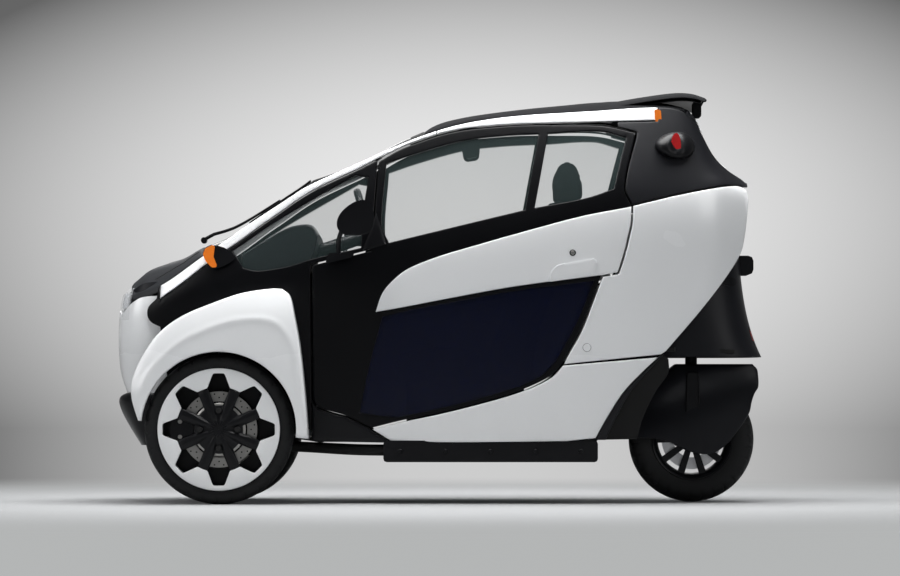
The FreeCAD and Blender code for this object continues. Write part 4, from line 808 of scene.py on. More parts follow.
bolts = [turned([(0.0002, -0.033), (0.007, -0.033), (0.008, -0.031), (0.008, -0.026), (0.0002, -0.026)],
    WHEEL + (-0.138, 0, z), 12) for z in (-0.026, 0.028)]
place("front_brake_body_{}", [prism(calliper + WHEEL[[0, 2]], WHEEL[1] - 0.029, WHEEL[1] + 0.010, 0.005)],
    satin_black)
place("front_brake_bolts_{}", bolts, disc_metal)


# Front fenders. The real ones are thin white mouldings that hug the wheels. A crease runs round the arch:
# above it the surface leans in towards the body, below it lies a flat band.
ARCH = 0.275
FENDER = [
    (173.6, 1.080), (160.5, 1.230), (150.9, 1.328), (137.9, 1.401), (122.6, 1.509), (108.8, 1.584), (95.1, 1.665),
    (80.9, 1.835), (69.8, 1.999), (65.8, 2.055), (62.2, 2.022), (56.0, 1.810), (44.6, 1.527), (19.5, 1.226),
    (-5.9, 1.200),
]
CREASE = [
    (168, 1.065), (155, 1.150), (136, 1.190), (115, 1.260), (96, 1.345), (80, 1.470), (66, 1.590), (58, 1.590),
    (48, 1.480), (33, 1.270), (14, 1.155), (-4, 1.130),
]


def polar(pairs, spacing=0.006):
    """A smooth line round the front axle through (degrees, share of the tyre's radius) pairs."""
    angle, share = np.radians([a for a, b in pairs]), WHEEL[2] * np.array([b for a, b in pairs])
    return curve(np.c_[WHEEL[0] + share * np.cos(angle), WHEEL[2] + share * np.sin(angle)], spacing)


arch_turn = np.radians(np.linspace(-5.9, 173.6, 110))
arch = WHEEL[[0, 2]] + ARCH * np.c_[np.cos(arch_turn), np.sin(arch_turn)]
fender_loop = np.concatenate([np.concatenate([polar(FENDER[:10]), polar(FENDER[9:])[1:]]), arch])
crease = polar(CREASE, 0.012)
points, triangles, rim, reach = trimmed([fender_loop], lambda p: inside(p, fender_loop), 0.009)
above = ~inside(points, np.concatenate([crease, arch])) & (
    np.linalg.norm(points - WHEEL[[0, 2]], axis=1) > ARCH + 0.0015)
lean = np.where(above, reach_to(points, crease[:-1], crease[1:]), 0)
front = np.clip((along(-0.2) - points[:, 0]) / 0.389, 0, 1)
outer = -0.4225 + 0.62 * lean ** 1.35 + 0.10 * front ** 1.5 * 0.425
outer -= 0.0025 * np.exp(-(reach_to(points, crease[:-1], crease[1:]) / 0.012) ** 2)
rolled = np.maximum(0.005 - reach, 0)
outer += 0.005 - np.sqrt(0.005 ** 2 - rolled ** 2)
to_arch = np.abs(np.linalg.norm(points - WHEEL[[0, 2]], axis=1) - ARCH)
inner = np.where(reach < 0.0055, np.where(to_arch < 0.0056, outer + 0.020, -0.300), outer + 0.005)
place("front_fender_{}_skin", [layered(points, triangles, rim, outer, inner)], white, ["front_fender_{}"], angle=50)

# Nose, lamps and chin. Bow-shaped mouldings wrap the front of the car: the white nose, a dark chin under
# it, and at each upper corner a lamp behind a clear cover. All of them follow one spline surface.
BOW = [(0, 1), (0.42, 1.02), (0.82, 0.90), (1, 0.50), (1, 0)]
NOSE = [
    (0.777, -0.906, 0.505), (0.886, -0.963, 0.545), (1.008, -0.991, 0.580), (1.120, -0.992, 0.600),
    (1.209, -0.977, 0.595), (1.262, -0.940, 0.575), (1.312, -0.888, 0.540),
]
NOSE_BACK, CHIN_BACK = -0.500, -0.560
CHIN = [
    (0.410, -0.779, 0.420), (0.572, -0.915, 0.500), (0.700, -0.998, 0.530), (0.765, -0.996, 0.530),
    (0.785, -0.900, 0.500),
]


def bow_surface(levels, back, rows, columns, deep=0.0):
    """Points of a bow-shaped surface at a grid of row shares and a line of column shares, moved in by a
    depth: the same cubic spline of bow-shaped rings that the solid part has."""
    turn = math.copysign(1, back - levels[0][1])
    poles = []
    for height, reach, half in levels:
        x0, x1, w = along(back), along(reach) + turn * deep, half * SIDE_HALF - deep
        near = [(x0 + (x1 - x0) * a, -w * b, up(height)) for a, b in BOW]
        poles.append(near + [(x, -y, z) for x, y, z in near[-2::-1]])
    by_row = cubic_weights(len(levels), np.clip(rows, 0, 1).ravel() * (len(levels) - 3)).reshape(*rows.shape, -1)
    by_column = cubic_weights(9, np.clip(columns, 0, 1) * 6)
    return np.einsum("rci,ijk,cj->rck", by_row, np.array(poles, float), by_column, optimize=True)


def bow_piece(levels, back, low, high, left, right, deep, size):
    """A closed wall on a bow surface between two lines of rows and columns (each a number or an array along
    the columns) and between two depths."""
    share, t = np.linspace(0, 1, size[0])[:, None], np.linspace(0, 1, size[1])
    rows = low * (1 - share) + high * share + 0 * t
    return shell(*[bow_surface(levels, back, rows, left + (right - left) * t, depth) for depth in deep])


def rows_under(levels, back, columns, places, shares, rows=80):
    """How far up the rows each column of a bow surface stays under a line of shares over X, smoothed along."""
    grid = bow_surface(levels, back, np.linspace(0, 1, rows)[:, None] + 0 * columns, columns)
    over = grid[:, :, 2] - up(np.interp(grid[:, :, 0], places, shares))
    first = np.maximum((over <= 0).argmin(0), 1)
    at = np.arange(len(columns))
    low, high = over[first - 1, at], over[first, at]
    found = (first - 1 + np.clip(-low / np.maximum(high - low, 1e-9), 0, 1)) / (rows - 1)
    found = np.where((over <= 0).all(0), 1.0, found)
    return np.convolve(np.pad(found, 2, "edge"), np.ones(5) / 5, "valid")


# The white nose ends under the lamps on a line that rises towards the sides. Above it a dark mask fills
# the space up to the hood, and each lamp is a bright bowl in the mask behind a clear cover.
LAMP_TOP = ([-1.165, -1.146, -1.075, -0.95], [1.240, 1.246, 1.290, 1.300])
t = np.linspace(0, 1, 120)
nose_top = rows_under(NOSE, NOSE_BACK, t, [-1.165, -1.148, -1.110, -1.076, -1.030], [1.196, 1.173, 1.215, 1.236, 1.242])
place("nose_skin", [bow_piece(NOSE, NOSE_BACK, 0.0, nose_top, 0.0, 1.0, (0, 0.006), (36, 120))], white, ["nose_panel"],
    angle=50)
mask_top = rows_under(NOSE, NOSE_BACK, np.linspace(0.02, 0.98, 80), *LAMP_TOP)
place("nose_mask", [bow_piece(NOSE, NOSE_BACK, 0.55, mask_top, 0.02, 0.98, (0.013, 0.016), (14, 80))], trim)
lamp_parts, lens_parts = [], []
for left, right in ((0.165, 0.345), (0.655, 0.835)):
    top = rows_under(NOSE, NOSE_BACK, np.linspace(left, right, 30), *LAMP_TOP)
    lens_parts.append(bow_piece(NOSE, NOSE_BACK, 0.60, top, left, right, (-0.001, 0.0015), (24, 30)))
    middle, reach_out = (left + right) / 2, (right - left) / 2
    lamp_parts.append(bow_piece(NOSE, NOSE_BACK, 0.72, 0.875, middle - 0.62 * reach_out, middle + 0.62 * reach_out,
        (0.004, 0.010), (12, 16)))
lens = glass("lamp_cover", (0.80, 0.82, 0.84), 0.93, slot="lamp")
bright = Finish("lamp_bowl", (0.80, 0.81, 0.83), 0.22, 0.35, "lamp", **{"Coat Weight": 0.5})
place("headlamp_covers", lens_parts, lens, ["headlamps"])
place("headlamp_bowls", lamp_parts, bright)
place("chin_blade", [bow_piece(CHIN, CHIN_BACK, 0.0, 1.0, 0.0, 1.0, (0, 0.006), (24, 90))], satin_black, ["chin_lip"],
    angle=50)


# Hood, screen, roof and rear window: four smooth sheets one behind the other between the rails, whose
# height across is crown - (crown - rail) |t|^2.4.
roof_grey = dark_plastic("roof_grey", (0.006, 0.0062, 0.0070), 0.78, 700, 0.05)
CROWN = np.array([
    (-0.952, 1.257), (-0.803, 1.309), (-0.701, 1.341), (-0.521, 1.368), (-0.364, 1.388), (-0.202, 1.424),
    (0.205, 1.492), (0.638, 1.590), (1.023, 1.681), (1.161, 1.742), (1.299, 1.815), (1.378, 1.852),
    (1.436, 1.883), (1.506, 1.902), (1.576, 1.915), (1.717, 1.935), (1.857, 1.950), (1.999, 1.963),
    (2.344, 1.967), (2.592, 1.963), (2.829, 1.947), (2.950, 1.929), (3.006, 1.892), (3.088, 1.844),
    (3.182, 1.785), (3.322, 1.736), (3.619, 1.693), (3.736, 1.664),
])


def top_points(share, t, inset=0.0, lift=0.0):
    """Points on the top sheets at shares along and across, -1 at the left edge and 1 at the right one."""
    share, t = np.asarray(share, float), np.asarray(t, float)
    rail_high = up(smooth(SIDE_LINES[:, 0], SIDE_LINES[:, 11], share))
    rail_wide = smooth(SIDE_LINES[:, 0], SIDE_LINES[:, 12], share) * SIDE_HALF
    crown = up(smooth(CROWN[:, 0], CROWN[:, 1], share))
    return np.stack([along(share) + 0 * t, t * (rail_wide - inset),
        crown - (crown - rail_high) * np.abs(t) ** 2.4 + lift], -1)


def top_sheet(start, end, rows, inset, depth, lift=0.0, across=(-1, 1), columns=80, front_bow=0.0, back_bow=0.0):
    """A closed sheet on top between two shares along, its ends bowed by a share, its edge rounded under."""
    t = np.linspace(*across, columns)[None, :]
    k = np.linspace(0, 1, rows)[:, None]
    share = (start - front_bow * (1 - t ** 2)) * (1 - k) + (end + back_bow * (1 - t ** 2)) * k
    edge = np.minimum(np.minimum(k, 1 - k) * (end - start) * 0.4,
        (1 - np.abs((2 * t - across[0] - across[1]) / (across[1] - across[0]))) * 0.2)
    drop = 0.004 - np.sqrt(np.maximum(0.004 ** 2 - np.maximum(0.004 - edge, 0) ** 2, 0))
    outer = top_points(share, t, inset, lift)
    outer[..., 2] -= drop
    inner = top_points(share, t, inset, lift - depth)
    return shell(outer, inner)


hood_grey = dark_plastic("hood_grey", (0.015, 0.016, 0.018), 0.46, 700, slot="grey_paint")
tail_grey = dark_plastic("tail_grey", (0.0062, 0.0065, 0.0085), 0.38, 700)
place("hood_skin", [top_sheet(-0.835, -0.176, 44, 0.004, 0.016, 0.002, columns=60, front_bow=0.03)], hood_grey,
    ["hood"], angle=50)
place("hood_seams", [rod(top_points(np.linspace(-0.62, -0.22, 40), side * np.linspace(0.80, 0.66, 40), 0.004, 0.0022),
    0.0016, 8) for side in (-1, 1)], black_and_painted_shade)
place("windscreen_pane", [top_sheet(-0.176, 1.380, 80, 0.020, 0.008, -0.001, columns=60)], clear_glass,
    ["windscreen"], angle=50)
place("windscreen_edge", [top_sheet(-0.176, -0.120, 10, 0.020, 0.012, 0.0006),
    top_sheet(1.330, 1.384, 10, 0.020, 0.012, 0.0006)] + [
    top_sheet(-0.12, 1.34, 90, 0.020, 0.010, 0.0004, across, 8) for across in ((-1, -0.90), (0.90, 1))],
    black_and_painted_shade, angle=50)
place("roof_skin", [top_sheet(1.384, 2.900, 80, 0.006, 0.020, 0.001, columns=60)], roof_grey, ["roof_panel"],
    angle=50)
place("rear_window_pane", [top_sheet(2.960, 3.690, 50, 0.030, 0.008, columns=50)], navy_glass, ["rear_window"],
    angle=50, slot="clear_glass")
place("rear_window_edge", [top_sheet(2.905, 2.965, 8, 0.010, 0.018, 0.001),
    top_sheet(3.660, 3.736, 8, 0.012, 0.014, 0.001)] + [
    top_sheet(2.95, 3.70, 60, 0.010, 0.012, 0.001, across, 8) for across in ((-1, -0.88), (0.88, 1))],
    tail_grey, angle=50)
place("rear_window_strips", [top_sheet(3.010, 3.440, 40, 0.004, 0.008, 0.006, across, 8)
    for across in ((-1.0, -0.93), (0.93, 1.0))], white, angle=50)

# Spoiler: a thin moulded blade that carries the roof's line on over the rear window. It has two layers with a
# dark slot between them, and rests on a bracket at the back.
SPOILER = [(2.159, 1.966), (2.420, 1.981), (2.788, 1.997), (2.973, 1.995), (3.192, 1.977)]


def blade(start, end, thick, lift, narrow, rows=44, columns=44):
    """A closed blade: its height along follows the spoiler's line, drooping at the ends by |t|^2.4."""
    t = np.linspace(-1, 1, columns)[None, :]
    k = np.linspace(0, 1, rows)[:, None]
    share = start + (end - start) * k - 0.05 * (1 - k) * (1 - t ** 2) - 0.05 * k * t ** 4
    z = up(smooth([a for a, b in SPOILER], np.array([b for a, b in SPOILER]),
        share)) - np.abs(t) ** 2.4 * 0.026 + lift
    half = (0.560 * SIDE_HALF - narrow) * (1 - 0.10 * (1 - k) ** 2)
    body = np.clip(np.minimum(np.minimum(k * 14, (1 - k) * 22), (1 - np.abs(t)) * 30), 0, 1)
    wall = thick * (0.25 + 0.75 * np.sqrt(1 - (1 - body) ** 2))
    x = along(share) + 0 * t
    middle = z - thick / 2
    return shell(np.stack([x, t * half + 0 * k, middle + wall / 2], -1),
        np.stack([x, t * half + 0 * k, middle - wall / 2], -1))


place("spoiler_blade", [blade(2.159, 3.192, 0.009, 0, 0)], roof_grey, ["spoiler"], angle=50)
place("spoiler_underlayer", [blade(2.40, 3.120, 0.008, -0.011, 0.008)], satin_black, angle=50)
place("spoiler_bracket", [box((0.925, -0.030, 1.405), (0.948, 0.030, 1.455), 0.004)], satin_black)

# Tail cover, closed round the back from the wheel up to the window, with a plate lamp, reflectors in its
# corners and a small scoop.
TAIL = [
    (1.020, 3.990, 0.560), (1.120, 3.800, 0.560), (1.324, 3.673, 0.540), (1.480, 3.650, 0.500),
    (1.640, 3.690, 0.430),
]
TAIL_FRONT = 2.640
tail_top = rows_under(TAIL, TAIL_FRONT, np.linspace(0, 1, 130), along([2.640, 3.100, 3.110]), [1.104, 1.270, 1.750])
place("tail_skin", [bow_piece(TAIL, TAIL_FRONT, 0.0, tail_top, 0.0, 1.0, (0, 0.007), (46, 130))], tail_grey,
    ["tail_cover"], angle=50)
place("tail_lug", [box((1.066, -0.055, 0.836), (1.130, 0.055, 0.886), 0.010)], satin_black)


def oval(levels, back, middle, row, half, tall, deep, size=(12, 24)):
    """An oval piece on a bow surface: its rows run between -sqrt(1 - s^2) and sqrt(1 - s^2)."""
    s = np.linspace(-0.995, 0.995, size[1])
    arc = tall * np.sqrt(1 - s ** 2)
    return bow_piece(levels, back, row - arc, row + arc, middle - half, middle + half, deep, size)


red_glow = Finish("red_lamp", (0.42, 0.010, 0.012), 0.12, **{"Coat Weight": 0.6})
amber_glow = Finish("amber_lamp", (0.85, 0.20, 0.015), 0.18, **{"Coat Weight": 0.6})
place("tail_reflectors", [oval(TAIL, TAIL_FRONT, at, 0.13, 0.014, 0.034, (-0.0015, 0.002)) for at in (0.335, 0.665)],
    red_glow)
# Round each reflector a flat black oval, a little proud of the cover, is painted shade standing for the recess that the
# reflector sits in.
place("tail_reflector_painted_recess_shade", [oval(TAIL, TAIL_FRONT, at, 0.13, 0.024, 0.058, (-0.0006, 0.002))
    for at in (0.335, 0.665)], black_and_painted_shade)
place("tail_scoops", [oval(TAIL, TAIL_FRONT, at, 0.47, 0.055, 0.030, (-0.003, 0.002), (10, 30))
    for at in (0.20, 0.80)], satin_black)

# Rear fender: a deep dark cowl over the rear wheel that turns with it. Its sides lie within a round bay,
# |y| <= sqrt(R^2 - (x - axle)^2), and its top edge is a broad soft shoulder.
REAR_FENDER = [
    [(2.822, 0.990), (3.860, 0.990)],
    [(3.860, 0.990), (3.935, 0.945), (3.940, 0.830), (3.882, 0.780), (3.839, 0.720), (3.802, 0.639), (3.664, 0.530),
     (3.465, 0.408), (3.266, 0.348), (3.028, 0.353), (2.852, 0.398), (2.651, 0.448), (2.330, 0.464)],
    [(2.330, 0.464), (2.380, 0.600), (2.559, 0.800), (2.740, 0.945), (2.822, 0.990)],
]
cowl_loop = outline(REAR_FENDER)
points, triangles, rim, reach = trimmed([cowl_loop], lambda p: inside(p, cowl_loop), 0.009)
REAR = np.array((MARKS[4], 0.0, 0.228))
share_x = np.interp(points[:, 0], MARKS, (-1, 0, 1, 2, 3, 4))
share_z = points[:, 1] / DECK
pinch = 0.18 * np.abs(share_x - 3.05) ** 2 + 0.5 * np.maximum(0, 0.5 - share_z) ** 2
half = 0.101 * (1 - pinch)
half = np.minimum(half, np.sqrt(np.maximum(0.254 ** 2 - (points[:, 0] - REAR[0]) ** 2, 0.03 ** 2)))
shoulder_edge = cowl_loop[(cowl_loop[:, 1] > up(0.62)) &
    ~((cowl_loop[:, 0] > along(3.5)) & (cowl_loop[:, 1] < up(0.90)))]
to_top = reach_to(points, shoulder_edge[:-1], shoulder_edge[1:])
half -= 0.040 * np.clip(1 - to_top / 0.095, 0, 1) ** 2.2
ends = np.concatenate([triangles[:, [0, 1]], triangles[:, [1, 2]], triangles[:, [2, 0]]])
for _ in range(40):
    total, count = np.zeros(len(half)), np.zeros(len(half))
    np.add.at(total, ends[:, 0], half[ends[:, 1]])
    np.add.at(count, ends[:, 0], 1)
    half = np.where(reach < 0.001, half, 0.5 * half + 0.5 * total / np.maximum(count, 1))
half -= 0.003 - np.sqrt(np.maximum(0.003 ** 2 - np.maximum(0.003 - reach, 0) ** 2, 0))
closed = (reach < 0.0055) & (points[:, 1] > up(0.88))
inner = np.where(closed, 0.0004, np.where(reach < 0.0055, half - 0.014, half - 0.005))
cowl_parts = [layered(points, triangles, rim, side * half, side * inner) for side in (-1, 1)]
place("rear_cowl", cowl_parts, tail_grey, ["rear_fender"], "rear_steer", angle=50)

# Rear wheel: a black cast wheel with a bright brake disc on its left, between the legs of the fork.
place("rear_tyre_rubber", [tyre(REAR, 0.228, 0.059, 0.141)], tread_rubber, ["rear_tyre"], "rear_wheel")
rear_barrel = [(0.1385, -0.055), (0.1445, -0.057), (0.1455, -0.052), (0.139, -0.046), (0.130, -0.020), (0.130, 0.020),
    (0.139, 0.046), (0.1455, 0.052), (0.1445, 0.057), (0.1385, 0.055), (0.123, 0.020), (0.123, -0.020),
    (0.131, -0.046)]
arms = []
for k in range(10):
    a = k * math.pi / 5
    spin = np.array([(math.cos(a), math.sin(a)), (-math.sin(a), math.cos(a))])
    corners = [(0.020, -0.007), (0.130, -0.010), (0.130, 0.010), (0.020, 0.007)]
    arms.append(prism(rounded(corners, 0.003) @ spin + REAR[[0, 2]], -0.040, -0.026, 0.003))
hub = turned([(0.015, -0.052), (0.034, -0.050), (0.036, 0.050), (0.015, 0.052)], REAR, 64)
place("rear_wheel_rim", [turned(rear_barrel, REAR, 144), hub] + arms, satin_black, ["rear_rim"], "rear_wheel")
place("rear_brake_disc", [turned([(0.066, -0.024), (0.109, -0.024), (0.109, -0.019), (0.066, -0.019)], REAR, 96)],
    cast_metal, body="rear_wheel")

# Lamps on the body: the front indicators in their dark pods, an amber lamp at the end of each rail over
# a dark block, and a pod on each rear shoulder with a red lamp in a hollow.
CAMERA_X, CAMERA_Z, CAMERA_AWAY = 0.036, 0.360, 13.0
PIXEL, PICTURE_WIDE, PICTURE_HIGH, HORIZON = 0.003653, 900, 576, 403


def pixel(pairs, y):
    """Side-view points in metres from places measured in the photograph, for a piece at Y."""
    pairs = np.asarray(pairs, float)
    scale = PIXEL * (CAMERA_AWAY + y) / CAMERA_AWAY
    return np.c_[CAMERA_X + (pairs[:, 0] - PICTURE_WIDE / 2) * scale, CAMERA_Z + (HORIZON - pairs[:, 1]) * scale]


pod = pixel([(211.5, 248.2), (217.5, 248.6), (224, 250.6), (229, 253.8), (233, 257.4), (229, 260.4), (222, 264.2),
    (215, 266.4), (210.5, 264), (209.5, 255)], -0.28)
flash = pixel([(212.5, 246.8), (207, 249.4), (204.6, 254.5), (207.4, 261), (212.8, 266.4), (216, 266.2), (212.5, 257),
    (213.8, 247.2)], -0.28)
place("indicator_pod_{}", [prism(rounded(pod, 0.008), -0.300, -0.250, 0.010)], satin_black)
place("indicator_lens_{}", [prism(rounded(flash, 0.004), -0.302, -0.245, 0.005)], amber_glow)
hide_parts("indicators")
end_block = pixel([(612, 123.6), (655, 122.4), (660.3, 132.8), (652, 132.8)], -0.24)
place("rail_end_pod_{}", [prism(rounded(end_block, 0.004), -0.250, -0.200, 0.005)], satin_black)
end_flash = pixel([(655.2, 110.8), (659.6, 111.2), (661.2, 132.6), (657.4, 132.8)], -0.24)
place("rail_end_lens_{}", [prism(rounded(end_flash, 0.003), -0.252, -0.205, 0.004)], amber_glow)

POD = pixel([(671.5, 145.5)], -0.29)[0]
a = circle_of(72)[:, None]
rho = np.sin(np.linspace(0.0005, math.pi / 2, 30))[None, :]
x = POD[0] + 0.072 * rho * np.cos(a) + 0.012 * rho ** 2
z = POD[1] + 0.050 * rho * np.sin(a) * (1 + 0.18 * np.cos(a))
hollow = np.exp(-((x - POD[0] - 0.014) / 0.020) ** 2 - ((z - POD[1]) / 0.034) ** 2)
top_of = half_width(x, z) + 0.046 * np.sqrt(np.maximum(1 - rho ** 2, 0)) - 0.016 * hollow
pod_shell = shell(np.stack([x, -top_of, z], -1), np.stack([x, -(half_width(x, z) - 0.004), z], -1), True)
place("rear_pod_{}", [pod_shell], satin_black, angle=50)
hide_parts("tail_lamps")
red_loop = np.c_[POD[0] + 0.014 + 0.0125 * np.cos(a[:, 0]), POD[1] + 0.037 * np.sin(a[:, 0])]
red_out = float(half_width(POD[0] + 0.014, POD[1])) + 0.046 - 0.010
place("rear_pod_lens_{}", [prism(red_loop, -red_out, -red_out + 0.020, 0.005)], red_glow)

# Door mirrors on short stems, the triangle at the window's corner, the handle and the key's lock.
head = pixel([(342.3, 229), (341.2, 223), (344, 216.5), (350, 210.5), (357.5, 206), (364, 204.4), (368.2, 208),
    (369.3, 215), (368.8, 223), (367, 228.6), (359, 230.4), (350, 230.4)], -0.44)
stem = pixel([(343.5, 226), (338.5, 240), (338.0, 256)], -0.42)
stem_line = curve(np.c_[stem[:, 0], [-0.430, -0.400, -0.338], stem[:, 1]], 0.006)
foot = pixel([(327, 262.5), (329, 254.5), (353, 252.6), (352, 256.5)], -0.34)
place("mirror_head_{}", [prism(rounded(head, 0.012), -0.476, -0.396, 0.016), rod(stem_line, 0.0085, 16),
    prism(rounded(foot, 0.004), -0.362, -0.330, 0.004)], satin_black, ["mirror_{}"], "door_{}", angle=50)
glass_loop = np.c_[-0.436 + 0.034 * np.cos(a[:, 0]), 1.012 + 0.038 * np.sin(a[:, 0])]
mirror_face = Finish("mirror", (0.85, 0.86, 0.87), 0.03, 1.0, "steel")
back_of_head = head[:, 0].max() + 0.0005
face_points, face_faces = prism(glass_loop, -0.0015, 0.0015, 0.0008)
place("mirror_glass_{}", [(np.c_[back_of_head + face_points[:, 1], face_points[:, 0], face_points[:, 2]],
    face_faces)], mirror_face, body="door_{}")
sail = rounded(pixel([(376.5, 213), (386.4, 244.6), (362.5, 251)], -0.33), 0.003)
panel("mirror_sail_{}", [sail], (-0.004, 0.004), satin_black, body="door_{}", roll=0.003)
# Flat fittings on the door and the quarter panel: the handle's flap in its groove, the lock in its ring, and
# the small round cap behind the door.
grip = rounded(pixel([(549.5, 281.2), (551.5, 272.5), (556.5, 267), (562.5, 265), (593.5, 259.6), (596, 262.2),
    (593.0, 274.2)], -0.36), 0.006)
circle = np.c_[np.cos(a[:, 0]), np.sin(a[:, 0])]
lock, cap = pixel([(572.6, 252.9)], -0.37)[0], pixel([(587, 347.5)], -0.36)[0]
for name, loop, proud, finish, body, roll, spacing in (
        ("door_handle_gap_{}", grip, 0.0018, black_and_painted_shade, "door_{}", 0.0012, 0.006),
        ("door_handle_flap_{}", widened(grip, -0.0034), 0.0060, white, "door_{}", 0.0012, 0.006),
        ("lock_ring_{}", lock + circle * 0.0115, 0.0018, satin_black, "door_{}", 0.0008, 0.004),
        ("lock_plug_{}", lock + circle * 0.0075, 0.0028, disc_metal, "door_{}", 0.0008, 0.004),
        ("quarter_cap_gap_{}", cap + circle * 0.0150, 0.0016, black_and_painted_shade, "root", 0.0008, 0.004),
        ("quarter_cap_{}", cap + circle * 0.0138, 0.0024, white, "root", 0.0008, 0.004)):
    panel(name, [loop], (-proud, 0.002), finish, body=body, roll=roll, spacing=spacing)

# Wiper: one long black arm of bent steel that turns on a pivot ahead of the screen, with a thin spring blade
# that holds the rubber lip.
share = np.linspace(-0.193, 0.62, 60)
t = np.interp(share, (-0.193, 0.0, 0.62), (-0.25, -0.30, -0.49))
arm_lift = np.interp(share, (-0.193, -0.10, 0.1, 0.62), (0.030, 0.034, 0.024, 0.014))
blade_share = np.linspace(0.28, 0.96, 60)
blade_t = np.interp(blade_share, (0.28, 0.96), (-0.385, -0.60))
place("wiper_arm", [rod(top_points(share, t, 0.04, arm_lift), np.linspace(0.0065, 0.0035, 60), 12),
    rod(top_points(blade_share, blade_t, 0.04, 0.0085), 0.0035, 8),
    rod(top_points(blade_share, blade_t, 0.04, 0.0032), 0.0018, 8),
    turned([(0.0003, -0.012), (0.011, -0.012), (0.012, 0.010), (0.0003, 0.010)],
    top_points(-0.193, -0.25, 0.04, 0.028), 32)], satin_black, ["wiper"])

# Under each door runs a dark square tube of the frame. Ahead of it a moulded cover closes the space behind
# the front wheel, behind it a black strake lines the edge of the wheel bay, and rubber seals the door.
COVER = [
    [(0.984, 0.440), (1.268, 0.430)], [(1.268, 0.430), (1.230, 0.480), (1.197, 0.522), (1.192, 0.560)],
    [(1.192, 0.560), (1.119, 0.640), (1.015, 0.720), (0.984, 0.790)], [(0.984, 0.790), (0.984, 0.440)],
]
cover_loop = outline(COVER)
panel("sill_cover_{}", [cover_loop, door_gap_loop], (0.001, WALL), satin_black, roll=0.006)
rail_bolts = [turned([(0.0002, -0.006), (0.006, -0.006), (0.0085, -0.003), (0.0085, 0.004), (0.0002, 0.004)],
    (x, -0.314, 0.188), 12) for x in np.linspace(along(1.30), along(1.92), 5)]
place("sill_rail_{}_tube", [box((along(1.248), -0.314, 0.155), (along(1.972), -0.258, 0.220), 0.006)] + rail_bolts,
    satin_black, ["sill_rail_{}"])
edge = line_of(SILL_BACK)
drop = np.linspace(0.25, 1, len(edge))[:, None]
strake_loop = np.concatenate([edge + (0.0025, 0), (edge + drop * (0.040, 0.0))[::-1]])
panel("strake_{}", [strake_loop], (0.001, WALL), trim, roll=0.006)
LINER = [(2.700, 1.010), (2.700, 0.925), (2.560, 0.790), (2.420, 0.600), (2.360, 0.455)]
liner_loop = np.concatenate([edge[::-1] + (0.010, 0), line_of(LINER)])
panel("bay_liner_{}", [liner_loop], (WALL - SKIN, WALL - 0.001), black_and_painted_shade)
seal = []
for size, deep in ((0.016, WALL + 0.0015), (0.016, WALL + 0.008), (-0.010, WALL + 0.008), (-0.010, WALL + 0.0015)):
    line = widened(door_loop, size)
    seal.append(np.c_[line[:, 0], deep - half_width(line[:, 0], line[:, 1]), line[:, 1]])
seal = np.stack(seal, 1)
place("door_seal_{}", [looped(seal)], black_and_painted_shade)
joint = line_of(SEAM_LINE)
joint_loop = np.concatenate([joint + (0, 0.010), (joint - (0, 0.016))[::-1]])
panel("quarter_joint_{}", [joint_loop], (WALL + 0.0005, WALL + 0.006), black_and_painted_shade)


# Floor: a pressed sheet between the side walls, with long ribs, and a toe board that rises to the dashboard.
share, t = np.linspace(1.004, 1.948, 40)[:, None], np.linspace(-1, 1, 80)[None, :]
x = along(share) + 0 * t
y = t * (half_width(x, 0.227) - WALL - 0.001)
ribs = 0.003 * np.clip(1.6 * np.cos(y * 2 * math.pi / 0.075), 0, 1) * np.clip(
    np.minimum(share - 1.06, 1.90 - share) * 30, 0, 1)
floor_part = shell(np.stack([x, y, 0.2305 + ribs], -1), np.stack([x, y, 0.2205 + 0 * ribs], -1))
toe = curve(np.c_[along([0.205, 0.215, 0.300, 0.560, 1.030]), up([1.400, 0.950, 0.760, 0.530, 0.446])], 0.012)
across = np.linspace(-0.1755, 0.1755, 30)
toe_out = np.stack([toe[:, :1] + 0 * across, across + 0 * toe[:, :1], toe[:, 1:] + 0 * across], -1)
toe_part = shell(toe_out, toe_out - (0.006, 0, 0.010))
place("floor_sheet", [floor_part, toe_part], black_and_painted_shade, ["floor_pan"], angle=50)

# Wheel bay: the moulded tub over the rear wheel, with the bearing of the steering shaft in its roof.
BAY = [(1.968, 0.445), (2.060, 0.590), (2.200, 0.760), (2.320, 0.895), (2.420, 0.985), (2.560, 1.045), (2.760, 1.052),
    (3.100, 1.050), (3.555, 1.045)]
line = line_of(BAY, 0.010)
half = np.where(line[:, 0] > along(2.78), 0.208, half_width(line[:, 0], line[:, 1]) - WALL - 0.002)[:, None]
t = np.linspace(-1, 1, 50)
bay_top = np.stack([line[:, :1] + 0 * t, half * t, line[:, 1:] + 0 * t], -1)
bearing = [(0.0235, -0.006), (0.040, -0.006), (0.044, 0.006), (0.044, 0.104), (0.036, 0.104), (0.0235, 0.100)]
ring_points, ring_faces = turned(bearing, (0, 0, 0), 48)
place("wheel_bay_tub", [shell(bay_top, bay_top - (0, 0, 0.013)), (ring_points[:, [0, 2, 1]] + (REAR[0], 0, 0.5512),
    ring_faces)], black_and_painted_shade, ["wheel_bay"], angle=50)

# Battery: a flat sealed case that hangs under the floor. Its underside has cast ribs, and its lid is held by
# a row of bolts.
case = [box((-0.1415, -0.234, 0.160), (0.4252, 0.234, 0.205), 0.008), box((-0.139, -0.230, 0.206),
    (0.4227, 0.230, 0.2195), 0.003)]
case += [box((x, -0.225, 0.1555), (x + 0.030, 0.225, 0.162), 0.002) for x in np.linspace(-0.11, 0.37, 7)]
case_bolts = [turned([(0.0002, -0.004), (0.005, -0.004), (0.006, 0.003), (0.0002, 0.003)], (x, -0.2315, 0.212), 10)
    for x in np.linspace(-0.11, 0.39, 9)]
place("battery_case", case, satin_black, ["battery_block"])
place("battery_bolts", case_bolts, disc_metal)

